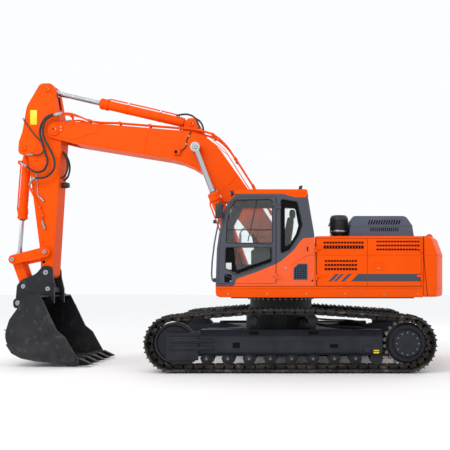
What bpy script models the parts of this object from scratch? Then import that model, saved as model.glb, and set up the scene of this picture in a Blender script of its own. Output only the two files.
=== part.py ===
"""Crawler excavator: undercarriage, slewing house with cab, boom, arm, bucket and their cylinders.

Metres, +Z up, the machine faces -X and its left side is -Y.  All places are first laid out from
the slewing axis at x = 0 on level ground, and the root empty then moves the whole machine so that
the origin lies at the middle of the base of its bounding box.
"""
import bpy
import bmesh
from math import acos, atan2, cos, hypot, pi, radians, sin, sqrt, tan
from mathutils import Matrix, Vector

# ---------------------------------------------------------------- driving dimensions
FIT = 0.0003                 # gap between pieces that touch
MOVING_GAP = 0.006           # gap between pieces that move past each other
PIN_GAP = 0.0005             # gap at a pin's end or in its bore

# undercarriage
GAUGE = 2.75                 # between the track centre lines
SHOE_WIDTH = 0.60
SHOE_COUNT = 62              # shoes in one loop
SHOE_THICK = 0.035
GROUSER = 0.03               # height of the bars on a shoe
LINK_DEPTH = 0.11            # shoe face to the rail that the rollers run on
LINK_WIDTH = 0.22
WHEEL_RADIUS = 0.49          # idler and sprocket, out to the shoe face
IDLER_X = -1.87
SPROCKET_X = 2.30
AXLE_Z = WHEEL_RADIUS + GROUSER
UPPER_ROLLER_X = (-0.47, 0.62)
UPPER_ROLLER_Z = 0.92
UPPER_ROLLER_R = 0.10
LOWER_ROLLER_X = -1.275      # foremost lower roller
LOWER_ROLLER_PITCH = 0.379
LOWER_ROLLER_COUNT = 9
LOWER_ROLLER_Z = 0.25
FRAME_FRONT = -1.39
FRAME_REAR = 1.85
FRAME_HALF = 0.24            # half width of a track frame
FRAME_RIDGE = 0.65           # height of the upper edge of its outer face
FRAME_TOP = 0.76
FRAME_FLOOR = 0.375          # underside over the rollers
LIP_BOTTOM = 0.318           # bottom of the lips beside the rollers
GUARD_FRONT = -2.01          # front end of the idler guards
GUARD_BOTTOM = 0.153
GUARD_TOP = 0.711
CAR_BODY_TOP = 1.10
CAR_BODY_FLOOR = 0.50
TUB_RADIUS = 0.70
SLEW_RADIUS = 0.62
DECK_BOTTOM = 1.30

# house
HOUSE_HALF = 1.45            # half width over the skirts
SKIRT_BOTTOM = 1.338
FLOOR_Z = 1.535              # top of the skirts, where doors and cab start
HOUSE_TOP = 2.44
HOUSE_FRONT = -1.13
HOUSE_REAR = 2.60            # joint to the counterweight
TAIL_RADIUS = 3.19
WEIGHT_BOTTOM = 1.347
WEIGHT_KNEE = 2.14           # the tail's face leans forward from here up
WEIGHT_LEAN = 0.11
PANEL = 0.04                 # thickness of doors and covers
DOOR_SPLIT = 1.60            # between the two left side doors
CAB_REAR = 0.65
CAB_INNER = -0.55            # the cab's right face
CAB_WALL = 0.05
CAB_DOOR_REAR = -0.043       # seam at the door's hinges
ROOF_Z = 3.20                # underside of the roof cap
ROOF_THICK = 0.085
HOOD_FRONT = 1.31
HOOD_REAR = 2.53
HOOD_TOP = 2.856
HOOD_HALF = 0.95

# working equipment: pins as (x, z)
BOOM_FOOT = (0.05, 2.05)
BOOM_NOSE = (-4.488, 4.644)
BOOM_HALF = 0.25
BOOM_FOOT_HALF = 0.28
BOOM_CYL_BASE = (-0.65, 1.62)
BOOM_CYL_EYE = (-1.662, 4.257)
BOOM_CYL_Y = 0.42
ARM_CYL_BASE = (-1.79, 4.80)
ARM_CYL_EYE = (-4.645, 5.463)
ARM_HALF = 0.195
BUCKET_CYL_BASE = (-5.12, 4.29)
ROCKER_PIN = (-4.659, 2.214)     # rocker link on the arm
LINK_PIN = (-5.293, 2.065)       # rocker link, power link and rod meet
BUCKET_PIN = (-4.659, 1.808)     # coupler on the arm's tip
COUPLER_PIN = (-5.105, 1.53)     # power link on the coupler
EAR_PIN_FRONT = (-4.60, 1.481)   # bucket ears on the coupler
EAR_PIN_REAR = (-5.194, 1.204)
PLATE = 0.02                     # plate of boom and arm boxes
BUCKET_HALF = 0.82
BUCKET_WALL = 0.03
TOOTH_COUNT = 5

# ---------------------------------------------------------------- colours
PAINTS = {
    "orange": ((0.80, 0.13, 0.012), 0.38, 0.0),
    "dark_grey": ((0.045, 0.048, 0.062), 0.5, 0.1),
    "cab_grey": ((0.07, 0.077, 0.10), 0.42, 0.1),
    "worn_steel": ((0.16, 0.13, 0.105), 0.6, 0.7),
    "chrome": ((0.75, 0.75, 0.76), 0.12, 1.0),
    "black_plastic": ((0.02, 0.02, 0.022), 0.5, 0.0),
    "seat_fabric": ((0.03, 0.03, 0.034), 0.9, 0.0),
    "bare_iron": ((0.2, 0.2, 0.2), 0.6, 0.8),
}


def paint(name):
    """The material of that name, made once."""
    found = bpy.data.materials.get(name)
    if found:
        return found
    material = bpy.data.materials.new(name)
    material.use_nodes = True
    shader = material.node_tree.nodes["Principled BSDF"]
    colour, roughness, metallic = PAINTS[name]
    shader.inputs["Base Color"].default_value = (*colour, 1.0)
    shader.inputs["Roughness"].default_value = roughness
    shader.inputs["Metallic"].default_value = metallic
    return material


def glass_paint():
    """Tinted safety glass."""
    found = bpy.data.materials.get("glass")
    if found:
        return found
    material = bpy.data.materials.new("glass")
    material.use_nodes = True
    shader = material.node_tree.nodes["Principled BSDF"]
    shader.inputs["Base Color"].default_value = (0.45, 0.55, 0.5, 1.0)
    shader.inputs["Roughness"].default_value = 0.05
    shader.inputs["Transmission Weight"].default_value = 0.9
    shader.inputs["Alpha"].default_value = 0.35
    return material


# ---------------------------------------------------------------- modelling helpers
AXES = {
    "x": Matrix(((0, 0, 1, 0), (1, 0, 0, 0), (0, 1, 0, 0), (0, 0, 0, 1))),
    "y": Matrix(((1, 0, 0, 0), (0, 0, -1, 0), (0, 1, 0, 0), (0, 0, 0, 1))),
    "z": Matrix.Identity(4),
}


def add_object(name, data):
    """A new object in the machine's collection."""
    thing = bpy.data.objects.new(name, data)
    PARTS.objects.link(thing)
    return thing


def baked(thing):
    """Replace the object's data by its evaluated mesh, welded, and return it as a mesh object."""
    graph = bpy.context.evaluated_depsgraph_get()
    mesh = bpy.data.meshes.new_from_object(thing.evaluated_get(graph))
    mesh.transform(thing.matrix_world)
    name = thing.name
    bpy.data.objects.remove(thing)
    weld(mesh)
    return add_object(name, mesh)


def weld(mesh):
    """Join the loose caps of a mesh and turn its faces outward."""
    work = bmesh.new()
    work.from_mesh(mesh)
    bmesh.ops.remove_doubles(work, verts=work.verts, dist=0.00001)
    bmesh.ops.dissolve_degenerate(work, edges=work.edges, dist=0.00001)
    bmesh.ops.dissolve_limit(work, angle_limit=radians(0.2), verts=work.verts, edges=work.edges)
    bmesh.ops.recalc_face_normals(work, faces=work.faces)
    work.to_mesh(mesh)
    work.free()


def outline_curve(name, loops):
    """A flat curve object through loops of (u, v) points."""
    curve = bpy.data.curves.new(name, "CURVE")
    curve.dimensions = "2D"
    for loop in loops:
        spline = curve.splines.new("POLY")
        spline.points.add(len(loop) - 1)
        for point, (u, v) in zip(spline.points, loop):
            point.co = (u, v, 0.0, 1.0)
        spline.use_cyclic_u = True
    return curve


def prism(name, loops, low, high, axis="y"):
    """A solid between low and high along an axis, over closed loops; inner loops are holes.

    The loops are (x, z) points for axis y, (x, y) for axis z and (y, z) for axis x.
    """
    if isinstance(loops[0][0], (int, float)):
        loops = [loops]
    curve = outline_curve(name, loops)
    curve.fill_mode = "BOTH"
    curve.extrude = (high - low) / 2
    thing = add_object(name, curve)
    middle = Vector({"x": (1, 0, 0), "y": (0, 1, 0), "z": (0, 0, 1)}[axis]) * (low + high) / 2
    thing.matrix_world = Matrix.Translation(middle) @ AXES[axis]
    bpy.context.view_layer.update()
    return baked(thing)


def box(name, x, y, z, bevel=0.0):
    """A box from three (low, high) pairs."""
    work = bmesh.new()
    bmesh.ops.create_cube(work, size=1.0)
    size = [pair[1] - pair[0] for pair in (x, y, z)]
    middle = [(pair[1] + pair[0]) / 2 for pair in (x, y, z)]
    bmesh.ops.scale(work, vec=size, verts=work.verts)
    bmesh.ops.translate(work, vec=middle, verts=work.verts)
    if bevel:
        bmesh.ops.bevel(work, geom=work.edges[:], offset=bevel, segments=2, affect="EDGES")
    mesh = bpy.data.meshes.new(name)
    work.to_mesh(mesh)
    work.free()
    return add_object(name, mesh)


def rod(name, start, end, radius, sides=12, end_radius=None):
    """A round bar or cone between two points."""
    start, end = Vector(start), Vector(end)
    way = end - start
    turn = way.to_track_quat("Z", "Y").to_matrix().to_4x4()
    work = bmesh.new()
    bmesh.ops.create_cone(
        work, cap_ends=True, segments=sides, radius1=radius,
        radius2=radius if end_radius is None else end_radius, depth=way.length,
        matrix=Matrix.Translation((start + end) / 2) @ turn)
    mesh = bpy.data.meshes.new(name)
    work.to_mesh(mesh)
    work.free()
    return add_object(name, mesh)


def pin_bar(name, pin, low, high, radius, sides=12):
    """A round bar across the machine, at a pin given as (x, z)."""
    return rod(name, (pin[0], low, pin[1]), (pin[0], high, pin[1]), radius, sides)


def turned(name, profile, centre, axis="y", steps=20):
    """A turned solid: (radius, distance along the axis) pairs about a centre, ends on the axis."""
    mesh = bpy.data.meshes.new(name)
    points = [(0.0, 0.0, profile[0][1])] + [(r, 0.0, d) for r, d in profile]
    points.append((0.0, 0.0, profile[-1][1]))
    mesh.from_pydata(points, [(i, i + 1) for i in range(len(points) - 1)], [])
    thing = add_object(name, mesh)
    screw = thing.modifiers.new("turn", "SCREW")
    screw.steps = steps
    screw.render_steps = steps
    screw.use_merge_vertices = True
    screw.merge_threshold = 0.0001
    thing.matrix_world = Matrix.Translation(centre) @ AXES[axis]
    bpy.context.view_layer.update()
    return baked(thing)


def tube(name, points, radius, sides_level=2):
    """A bent round tube through points, with filled ends."""
    curve = bpy.data.curves.new(name, "CURVE")
    curve.dimensions = "3D"
    spline = curve.splines.new("POLY")
    spline.points.add(len(points) - 1)
    for point, place in zip(spline.points, points):
        point.co = (*place, 1.0)
    curve.bevel_depth = radius
    curve.bevel_resolution = sides_level
    curve.use_fill_caps = True
    thing = add_object(name, curve)
    bpy.context.view_layer.update()
    return baked(thing)


def boolean(target, tools, operation, solver):
    """Join or cut with each tool, then drop the tools."""
    for tool in tools:
        step = target.modifiers.new(operation.lower(), "BOOLEAN")
        step.operation = operation
        step.solver = solver
        step.object = tool
    bpy.context.view_layer.update()
    result = baked(target)
    for tool in tools:
        bpy.data.objects.remove(tool)
    return result


def join(target, *tools, solver="EXACT"):
    """One solid from overlapping ones."""
    return boolean(target, tools, "UNION", solver)


def cut(target, *tools, solver="EXACT"):
    """The target less its cutters."""
    return boolean(target, tools, "DIFFERENCE", solver)


def fillet(corners, segments=4):
    """Round the corners of an outline given as (u, v, radius)."""
    points = []
    count = len(corners)
    for i, (u, v, radius) in enumerate(corners):
        here = Vector((u, v))
        if radius <= 0:
            points.append((u, v))
            continue
        back = Vector(corners[i - 1][:2]) - here
        ahead = Vector(corners[(i + 1) % count][:2]) - here
        half = back.angle(ahead) / 2
        reach = min(radius / tan(half), 0.48 * back.length, 0.48 * ahead.length)
        real = reach * tan(half)
        start = here + back.normalized() * reach
        stop = here + ahead.normalized() * reach
        centre = here + (back.normalized() + ahead.normalized()).normalized() * hypot(reach, real)
        first = atan2(start.y - centre.y, start.x - centre.x)
        sweep = atan2(stop.y - centre.y, stop.x - centre.x) - first
        sweep = (sweep + pi) % (2 * pi) - pi
        for k in range(segments + 1):
            angle = first + sweep * k / segments
            points.append((centre.x + real * cos(angle), centre.y + real * sin(angle)))
    return points


def inset(corners, depth):
    """The same corners moved inward by a depth, their radii kept."""
    area = sum(a[0] * b[1] - b[0] * a[1] for a, b in zip(corners, corners[1:] + corners[:1]))
    side = 1 if area > 0 else -1
    count = len(corners)
    moved = []
    for i, (u, v, radius) in enumerate(corners):
        here = Vector((u, v))
        before = (here - Vector(corners[i - 1][:2])).normalized()
        after = (Vector(corners[(i + 1) % count][:2]) - here).normalized()
        inward_a = Vector((-before.y, before.x)) * side
        inward_b = Vector((-after.y, after.x)) * side
        way = (inward_a + inward_b).normalized()
        moved.append((*(here + way * (depth / max(way.dot(inward_a), 0.3))), max(radius - depth, 0)))
    return moved


def finish(thing, name, material, body):
    """Name a piece, paint it, shade it and hang it on its body's empty."""
    thing.name = name
    thing.data.name = name
    thing.data.materials.clear()
    thing.data.materials.append(material)
    for face in thing.data.polygons:
        face.material_index = 0
    thing.data.shade_smooth()
    thing.data.set_sharp_from_angle(angle=radians(32))
    place = body.matrix_world.translation
    thing.data.transform(Matrix.Translation(-place))
    thing.parent = body
    thing.matrix_world = Matrix.Translation(place)
    return thing


def pivot(name, place, parent):
    """An empty on a joint's axis."""
    empty = bpy.data.objects.new(name, None)
    PARTS.objects.link(empty)
    empty.empty_display_size = 0.2
    empty.parent = parent
    offset = parent.matrix_world.translation if parent else Vector()
    empty.location = Vector(place) - offset
    bpy.context.view_layer.update()
    return empty


def at(pin, y=0.0):
    """A point from an (x, z) pin and a y."""
    return (pin[0], y, pin[1])


# ---------------------------------------------------------------- undercarriage
def belt(circles):
    """A closed belt round circles (x, z, radius), anticlockwise: its length and a point function."""
    count = len(circles)
    normals = []
    for i, (x, z, radius) in enumerate(circles):
        nx, nz, near = circles[(i + 1) % count]
        way = Vector((nx - x, nz - z))
        lean = (radius - near) / way.length
        way.normalize()
        normals.append(way * lean + Vector((way.y, -way.x)) * sqrt(1 - lean * lean))
    parts = []
    for i, (x, z, radius) in enumerate(circles):
        first = atan2(normals[i - 1].y, normals[i - 1].x)
        sweep = (atan2(normals[i].y, normals[i].x) - first) % (2 * pi)
        if sweep > 2 * pi - 0.001:
            sweep = 0.0
        parts.append(("arc", Vector((x, z)), radius, first, sweep, radius * sweep))
        nx, nz, near = circles[(i + 1) % count]
        start = Vector((x, z)) + normals[i] * radius
        stop = Vector((nx, nz)) + normals[i] * near
        parts.append(("line", start, stop, normals[i], 0.0, (stop - start).length))
    length = sum(part[-1] for part in parts)

    def point(distance, offset):
        """The belt's point at a distance along it, moved outward by an offset."""
        distance %= length
        for part in parts:
            if distance <= part[-1]:
                break
            distance -= part[-1]
        if part[0] == "arc":
            angle = part[3] + part[4] * distance / max(part[-1], 1e-9)
            normal = Vector((cos(angle), sin(angle)))
            spot = part[1] + normal * part[2]
        else:
            normal = part[3]
            spot = part[1].lerp(part[2], distance / part[-1])
        spot = spot + normal * offset
        return (spot.x, spot.y)

    return length, point


def track_belt():
    """The belt that the outer faces of the shoes follow."""
    reach = UPPER_ROLLER_R + LINK_DEPTH
    return belt([(IDLER_X, AXLE_Z, WHEEL_RADIUS), (SPROCKET_X, AXLE_Z, WHEEL_RADIUS),
                 (UPPER_ROLLER_X[1], UPPER_ROLLER_Z, reach), (UPPER_ROLLER_X[0], UPPER_ROLLER_Z, reach)])


def shoe_pitch():
    """Length of one shoe along the belt."""
    return track_belt()[0] / SHOE_COUNT


def build_track(side, y, root):
    """One loop of shoes on a chain of links."""
    length, point = track_belt()
    pitch = length / SHOE_COUNT
    shoes = []
    for i in range(SHOE_COUNT):
        for share, height in ((0.06, 0.0), (0.2, GROUSER), (0.8, GROUSER), (0.94, 0.0)):
            shoes.append(point((i + share) * pitch, height))
    shoe_back = [point(i * pitch, -SHOE_THICK) for i in range(SHOE_COUNT)]
    link_out = [point((i + 0.5) * pitch, -SHOE_THICK / 2) for i in range(SHOE_COUNT)]
    link_in = [point((i + 0.5) * pitch, -LINK_DEPTH) for i in range(SHOE_COUNT)]
    loop = prism("shoes", [shoes, shoe_back], y - SHOE_WIDTH / 2, y + SHOE_WIDTH / 2)
    links = prism("links", [link_out, link_in], y - LINK_WIDTH / 2, y + LINK_WIDTH / 2)
    finish(join(loop, links, solver="MANIFOLD"), "track_" + side, paint("worn_steel"), root)


def build_track_frame(side, y, root):
    """The side beam with the idler's guards, the final drive's plate and the carrier rollers."""
    lip = FRAME_HALF - 0.04
    inside = lip - 0.035
    section = [(FRAME_HALF, LIP_BOTTOM + 0.045), (lip, LIP_BOTTOM), (inside, LIP_BOTTOM),
               (inside, FRAME_FLOOR), (-inside, FRAME_FLOOR), (-inside, LIP_BOTTOM),
               (-lip, LIP_BOTTOM), (-FRAME_HALF, LIP_BOTTOM + 0.045), (-FRAME_HALF, FRAME_RIDGE),
               (-FRAME_HALF / 2, FRAME_TOP), (FRAME_HALF / 2, FRAME_TOP), (FRAME_HALF, FRAME_RIDGE)]
    beam = prism("beam", [(y + u, v) for u, v in section], FRAME_FRONT, FRAME_REAR, "x")
    guards = []
    for sign in (-1, 1):
        low, high = sorted((y + sign * 0.14, y + sign * 0.20))
        shape = fillet([(GUARD_FRONT, GUARD_BOTTOM + 0.12, 0.05), (GUARD_FRONT + 0.12, GUARD_BOTTOM, 0.05),
                        (FRAME_FRONT - 0.16, GUARD_BOTTOM, 0), (FRAME_FRONT + 0.01, LIP_BOTTOM + 0.05, 0),
                        (FRAME_FRONT + 0.01, GUARD_TOP, 0), (GUARD_FRONT, GUARD_TOP, 0.06)], 3)
        guards.append(prism("guard", shape, low, high))
    inner = 1 if y < 0 else -1
    low, high = sorted((y + inner * 0.13, y + inner * 0.20))
    rear = SPROCKET_X + 0.24
    drive_plate = fillet([(FRAME_REAR - 0.1, FRAME_TOP - 0.06, 0), (rear, AXLE_Z + 0.24, 0.2),
                          (rear, AXLE_Z - 0.24, 0.2), (FRAME_REAR - 0.1, FRAME_FLOOR + 0.03, 0)], 4)
    plate = prism("drive_plate", drive_plate, low, high)
    rollers = [piece for x in UPPER_ROLLER_X for piece in upper_roller(x, y)]
    finish(join(beam, *guards, plate, *rollers), "track_frame_" + side, paint("dark_grey"), root)


def build_wheels(side, y, root):
    """Idler, final drive with its sprocket, and the rollers of one track."""
    out = -1 if y < 0 else 1
    rim = (WHEEL_RADIUS - LINK_DEPTH) * cos(shoe_pitch() / 2 / WHEEL_RADIUS) - 2 * FIT
    hub = 0.14 - FIT
    idler = turned("idler", [(0.10, -hub), (0.13, -0.09), (0.30, -0.085), (0.32, -0.06), (rim, -0.055),
                             (rim, 0.055), (0.32, 0.06), (0.30, 0.085), (0.13, 0.09), (0.10, hub)],
                   (IDLER_X, y, AXLE_Z), steps=20)
    finish(idler, "idler_" + side, paint("dark_grey"), root)
    face = 0.13 - FIT
    profile = [(0.24, -face), (0.24, -0.045), (rim, -0.04), (rim, 0.04), (0.345, 0.05),
               (0.345, 0.11), (0.30, 0.13), (0.255, 0.135), (0.255, 0.19), (0.235, 0.21)]
    drive = turned("drive", [(r, -out * d) for r, d in profile], (SPROCKET_X, y, AXLE_Z), steps=20)
    finish(drive, "final_drive_" + side, paint("dark_grey"), root)
    build_lower_rollers(side, y, root)


def build_lower_rollers(side, y, root):
    """The lower rollers of a side on the rails that bolt them under the frame."""
    tread = LOWER_ROLLER_Z - (GROUSER + LINK_DEPTH) - FIT
    half = LINK_WIDTH / 2
    rail_in, rail_out = 0.143, FRAME_HALF - 0.075 - FIT
    last = LOWER_ROLLER_X + LOWER_ROLLER_PITCH * (LOWER_ROLLER_COUNT - 1)
    rails = []
    for sign in (-1, 1):
        low, high = sorted((y + sign * rail_in, y + sign * rail_out))
        front, rear = LOWER_ROLLER_X - 0.08, min(last + 0.08, FRAME_REAR - 0.01)
        rails.append(box("rail", (front, rear), (low, high), (0.325, FRAME_FLOOR - FIT)))
    pieces = []
    for i in range(LOWER_ROLLER_COUNT):
        x = LOWER_ROLLER_X + LOWER_ROLLER_PITCH * i
        profile = [(0.122, -rail_in - 0.006), (0.122, -half - 0.002), (tread, -half - 0.001),
                   (tread, half + 0.001), (0.122, half + 0.002), (0.122, rail_in + 0.006)]
        pieces.append(turned("roller", profile, (x, y, LOWER_ROLLER_Z), steps=8))
    rollers = join(rails[0], rails[1], *pieces, solver="MANIFOLD")
    finish(rollers, "lower_rollers_" + side, paint("dark_grey"), root)


def upper_roller(x, y):
    """The pieces of a carrier roller and the bracket that stands on the track frame."""
    inner = 1 if y < 0 else -1
    radius = UPPER_ROLLER_R - 0.005
    roller = turned("roller", [(radius, -0.09), (radius, 0.09)],
                    (x, y, UPPER_ROLLER_Z), steps=16)
    ends = sorted((y - inner * 0.10, y + inner * 0.165))
    shaft = rod("shaft", (x, ends[0], UPPER_ROLLER_Z), (x, ends[1], UPPER_ROLLER_Z), 0.035, 12)
    low, high = sorted((y + inner * 0.115, y + inner * 0.16))
    post = box("post", (x - 0.05, x + 0.05), (low, high), (FRAME_RIDGE, UPPER_ROLLER_Z + 0.05))
    return [roller, shaft, post]


def build_car_body(root):
    """The X of four legs between the track frames, with the round tub that carries the slewing ring."""
    reach = GAUGE / 2 - FRAME_HALF - FIT
    leg_x = 0.95
    wide = 0.30
    shape = []
    for sx, sy in ((1, 1), (-1, 1), (-1, -1), (1, -1)):
        outer = [(sx * (leg_x + wide), sy * reach), (sx * (leg_x - wide), sy * reach)]
        waist = (0.0, sy * 0.62)
        corner = (sx * 0.75, 0.0)
        shape += [corner, *outer, waist] if sx * sy > 0 else [waist, *outer[::-1], corner]
    shape = [point for i, point in enumerate(shape) if point != shape[i - 1]]
    legs = prism("legs", shape, CAR_BODY_FLOOR - 0.06, FRAME_TOP - 0.03, "z")
    tub = rod("tub", (0, 0, CAR_BODY_FLOOR - 0.02), (0, 0, CAR_BODY_TOP), TUB_RADIUS, 32)
    finish(join(legs, tub), "car_body", paint("dark_grey"), root)
    ring_low, ring_high = CAR_BODY_TOP + FIT, DECK_BOTTOM - FIT
    ring = turned("ring", [(SLEW_RADIUS, ring_low), (SLEW_RADIUS, ring_high)], (0, 0, 0), "z", 40)
    finish(ring, "slew_ring", paint("bare_iron"), root)


# ---------------------------------------------------------------- house
def build_deck(house):
    """The revolving frame: centre beams, floor, boom cheeks and cylinder lugs."""
    floor_low, floor_high = 1.36, 1.42
    inner = HOUSE_HALF - 0.05 - FIT
    floor = box("floor", (HOUSE_FRONT + 0.01, HOUSE_REAR - FIT), (-inner, inner), (floor_low, floor_high))
    spine = box("spine", (-0.95, HOUSE_REAR - FIT), (-0.55, 0.55), (DECK_BOTTOM, floor_low + 0.01))
    tools = [spine]
    cheek_low = BOOM_FOOT_HALF + 0.0055
    x, z = BOOM_FOOT
    for sign in (-1, 1):
        low, high = sorted((sign * cheek_low, sign * (cheek_low + 0.045)))
        shape = fillet([(x - 0.24, z - 0.1, 0), (x - 0.2, z + 0.2, 0.18), (x + 0.2, z + 0.2, 0.18),
                        (x + 1.25, floor_high - 0.01, 0.1), (x - 0.42, floor_high - 0.01, 0.0)], 4)
        tools.append(prism("cheek", shape, low, high))
        tools.append(pin_bar("boss", BOOM_FOOT, *sorted((sign * (BOOM_FOOT_HALF + PIN_GAP),
                                                         sign * (cheek_low + 0.01))), 0.13, 12))
        x2, z2 = BOOM_CYL_BASE
        for gap in (-0.0655, 0.0655):
            middle = sign * BOOM_CYL_Y + gap
            lug = fillet([(x2 - 0.13, floor_high - 0.01, 0), (x2 + 0.13, floor_high - 0.01, 0),
                          (x2 + 0.09, z2 + 0.1, 0.08), (x2 - 0.09, z2 + 0.1, 0.08)], 3)
            tools.append(prism("lug", lug, middle - 0.012, middle + 0.012))
    deck = join(floor, *tools)
    finish(deck, "deck", paint("dark_grey"), house)


def build_skirts(house):
    """The rails along both sides, with the rounded lower front corner."""
    for side, sign in (("l", -1), ("r", 1)):
        low, high = sorted((sign * (HOUSE_HALF - 0.05), sign * HOUSE_HALF))
        shape = fillet([(HOUSE_FRONT, SKIRT_BOTTOM, 0.09), (HOUSE_REAR - FIT, SKIRT_BOTTOM, 0),
                        (HOUSE_REAR - FIT, FLOOR_Z, 0), (HOUSE_FRONT, FLOOR_Z, 0)], 4)
        finish(prism("skirt", shape, low, high), "side_skirt_" + side, paint("orange"), house)


CAB_FRONT = [(-1.131, FLOOR_Z + FIT), (-1.108, 2.212), (-1.075, 2.442), (-1.002, 2.83),
             (-0.946, 2.965), (-0.87, 3.09), (-0.74, ROOF_Z - FIT)]


def cab_front_x(z, depth=0.0):
    """Where the cab's front face lies at a height, moved back by a depth."""
    for (xa, za), (xb, zb) in zip(CAB_FRONT, CAB_FRONT[1:]):
        if z <= zb:
            return xa + (xb - xa) * (z - za) / (zb - za) + depth
    return CAB_FRONT[-1][0] + depth


def cab_outline(depth):
    """The cab's side view, moved inward by a depth."""
    rear = [(0.52, ROOF_Z - FIT, 0.0), (0.555, 2.999, 0.0), (CAB_REAR, 2.424, 0.0),
            (CAB_REAR, FLOOR_Z + FIT, 0.0)]
    corners = [(x, z, 0.0) for x, z in CAB_FRONT] + rear
    moved = inset(corners, depth) if depth else corners
    return [(x, z) for x, z, _ in moved]


def door_outline(gap):
    """The cab door's outline, its edge moved inward by a gap."""
    front = 0.045 + gap
    low, high = FLOOR_Z + 0.05 + gap, ROOF_Z - 0.05 - gap
    heights = (low, 2.212, 2.442, 2.83, 2.965, 3.06, high)
    line = [(cab_front_x(z, front + (0.05 if z > 3.1 else 0.0)), z) for z in heights]
    return line + [(CAB_DOOR_REAR - gap, high), (CAB_DOOR_REAR - gap, low)]


def window_hole(outline, gap=0.0):
    """A window's rounded outline, smaller by a gap."""
    corners = inset(outline, gap) if gap else outline
    return fillet(corners, 3)


UPPER_PANE = [(-0.945, 2.32, 0.05), (-0.11, 2.30, 0.05), (-0.11, 3.11, 0.06), (-0.78, 3.09, 0.05),
              (-0.87, 2.93, 0.1), (-0.93, 2.66, 0.1)]
LOWER_PANE = [(-0.96, 1.86, 0.03), (-0.75, 1.74, 0.03), (-0.12, 1.97, 0.04), (-0.12, 2.24, 0.04),
              (-0.95, 2.24, 0.04)]
QUARTER_PANE = [(0.04, 2.12, 0.04), (0.20, 2.19, 0.06), (0.36, 2.44, 0.1), (0.43, 2.64, 0.06),
                (0.34, 3.06, 0.06), (0.04, 3.11, 0.04)]
RIGHT_PANE = [(-0.93, 1.95, 0.05), (0.40, 1.95, 0.05), (0.40, 3.05, 0.05), (-0.72, 3.05, 0.05),
              (-0.90, 2.7, 0.1)]
WINDSCREEN_Z = (1.74, 3.05)
GLASS = 0.008


def build_cab(house, door_body):
    """Hollow cab shell with its windows, roof, door, glass and what is inside."""
    outer_y, inner_y = -HOUSE_HALF, CAB_INNER
    middle = (outer_y + inner_y) / 2
    half_pane = (inner_y - outer_y) / 2 - 0.09
    shell = prism("shell", cab_outline(0.0), outer_y, inner_y)
    cutters = [prism("room", cab_outline(CAB_WALL), outer_y + CAB_WALL, inner_y - CAB_WALL)]
    cutters.append(prism("door_hole", door_outline(0.0), outer_y - 0.1, outer_y + CAB_WALL + 0.01))
    cutters.append(prism("quarter_hole", window_hole(QUARTER_PANE), outer_y - 0.1, outer_y + 0.1))
    cutters.append(prism("right_hole", window_hole(RIGHT_PANE), inner_y - 0.1, inner_y + 0.1))
    low, high = WINDSCREEN_Z
    front = [(-1.6, low)] + [(cab_front_x(z, CAB_WALL + 0.03), z) for z in (low, 2.2, 2.44, 2.83, high)]
    cutters.append(prism("front_hole", front + [(-1.6, high)], middle - half_pane, middle + half_pane))
    cutters.append(box("rear_hole", (0.3, 0.9), (middle - half_pane, middle + half_pane), (2.5, 3.02)))
    shell = cut(shell, *cutters)
    knuckles, leaves = hinge_knuckles((CAB_HINGE_X, CAB_HINGE_Y), (1.72, 2.98), CAB_DOOR_REAR, outer_y, 0.08)
    shell = join(shell, *knuckles)
    finish(shell, "cab_shell", paint("cab_grey"), house)

    door = prism("door", [door_outline(MOVING_GAP), window_hole(UPPER_PANE), window_hole(LOWER_PANE)],
                 outer_y, outer_y + CAB_WALL - 0.004)
    door = join(door, *leaves)
    finish(door, "cab_door", paint("cab_grey"), door_body)
    pane_y = outer_y + CAB_WALL / 2
    for name, outline in (("door_glass_upper", UPPER_PANE), ("door_glass_lower", LOWER_PANE)):
        pane = prism("pane", window_hole(outline, FIT), pane_y, pane_y + GLASS)
        finish(pane, name, glass_paint(), door_body)
    pane = prism("pane", window_hole(QUARTER_PANE, FIT), pane_y, pane_y + GLASS)
    finish(pane, "quarter_glass", glass_paint(), house)
    pane = prism("pane", window_hole(RIGHT_PANE, FIT), inner_y - 0.03, inner_y - 0.03 + GLASS)
    finish(pane, "right_glass", glass_paint(), house)
    build_windscreen(house, middle, half_pane)

    roof_low = ROOF_Z
    roof = fillet([(-0.86, roof_low, 0.02), (0.53, roof_low, 0.02), (0.515, roof_low + ROOF_THICK, 0.06),
                   (-0.70, roof_low + ROOF_THICK, 0.12)], 3)
    finish(prism("roof", roof, outer_y + 0.01, inner_y - 0.01), "cab_roof", paint("orange"), house)
    build_cab_inside(house, middle)


def build_windscreen(house, middle, half_pane):
    """The curved windscreen and the flat rear window."""
    low, high = WINDSCREEN_Z
    heights = (low + FIT, 2.212, 2.442, 2.83, 2.965, high - FIT)
    face = [(cab_front_x(z, 0.012), z) for z in heights]
    back = [(x + GLASS, z) for x, z in face[::-1]]
    pane = prism("pane", face + back, middle - half_pane + FIT, middle + half_pane - FIT)
    finish(pane, "windscreen", glass_paint(), house)
    low, high = 2.5 + FIT, 3.02 - FIT
    lean = (CAB_REAR - 0.555) / (2.424 - 2.999)
    face = [(CAB_REAR + lean * (z - 2.424) - 0.03, z) for z in (low, 2.999)] + [(0.55 - 0.03, high)]
    back = [(x + GLASS, z) for x, z in face[::-1]]
    pane = prism("pane", face + back, middle - half_pane + FIT, middle + half_pane - FIT)
    finish(pane, "rear_glass", glass_paint(), house)


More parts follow.
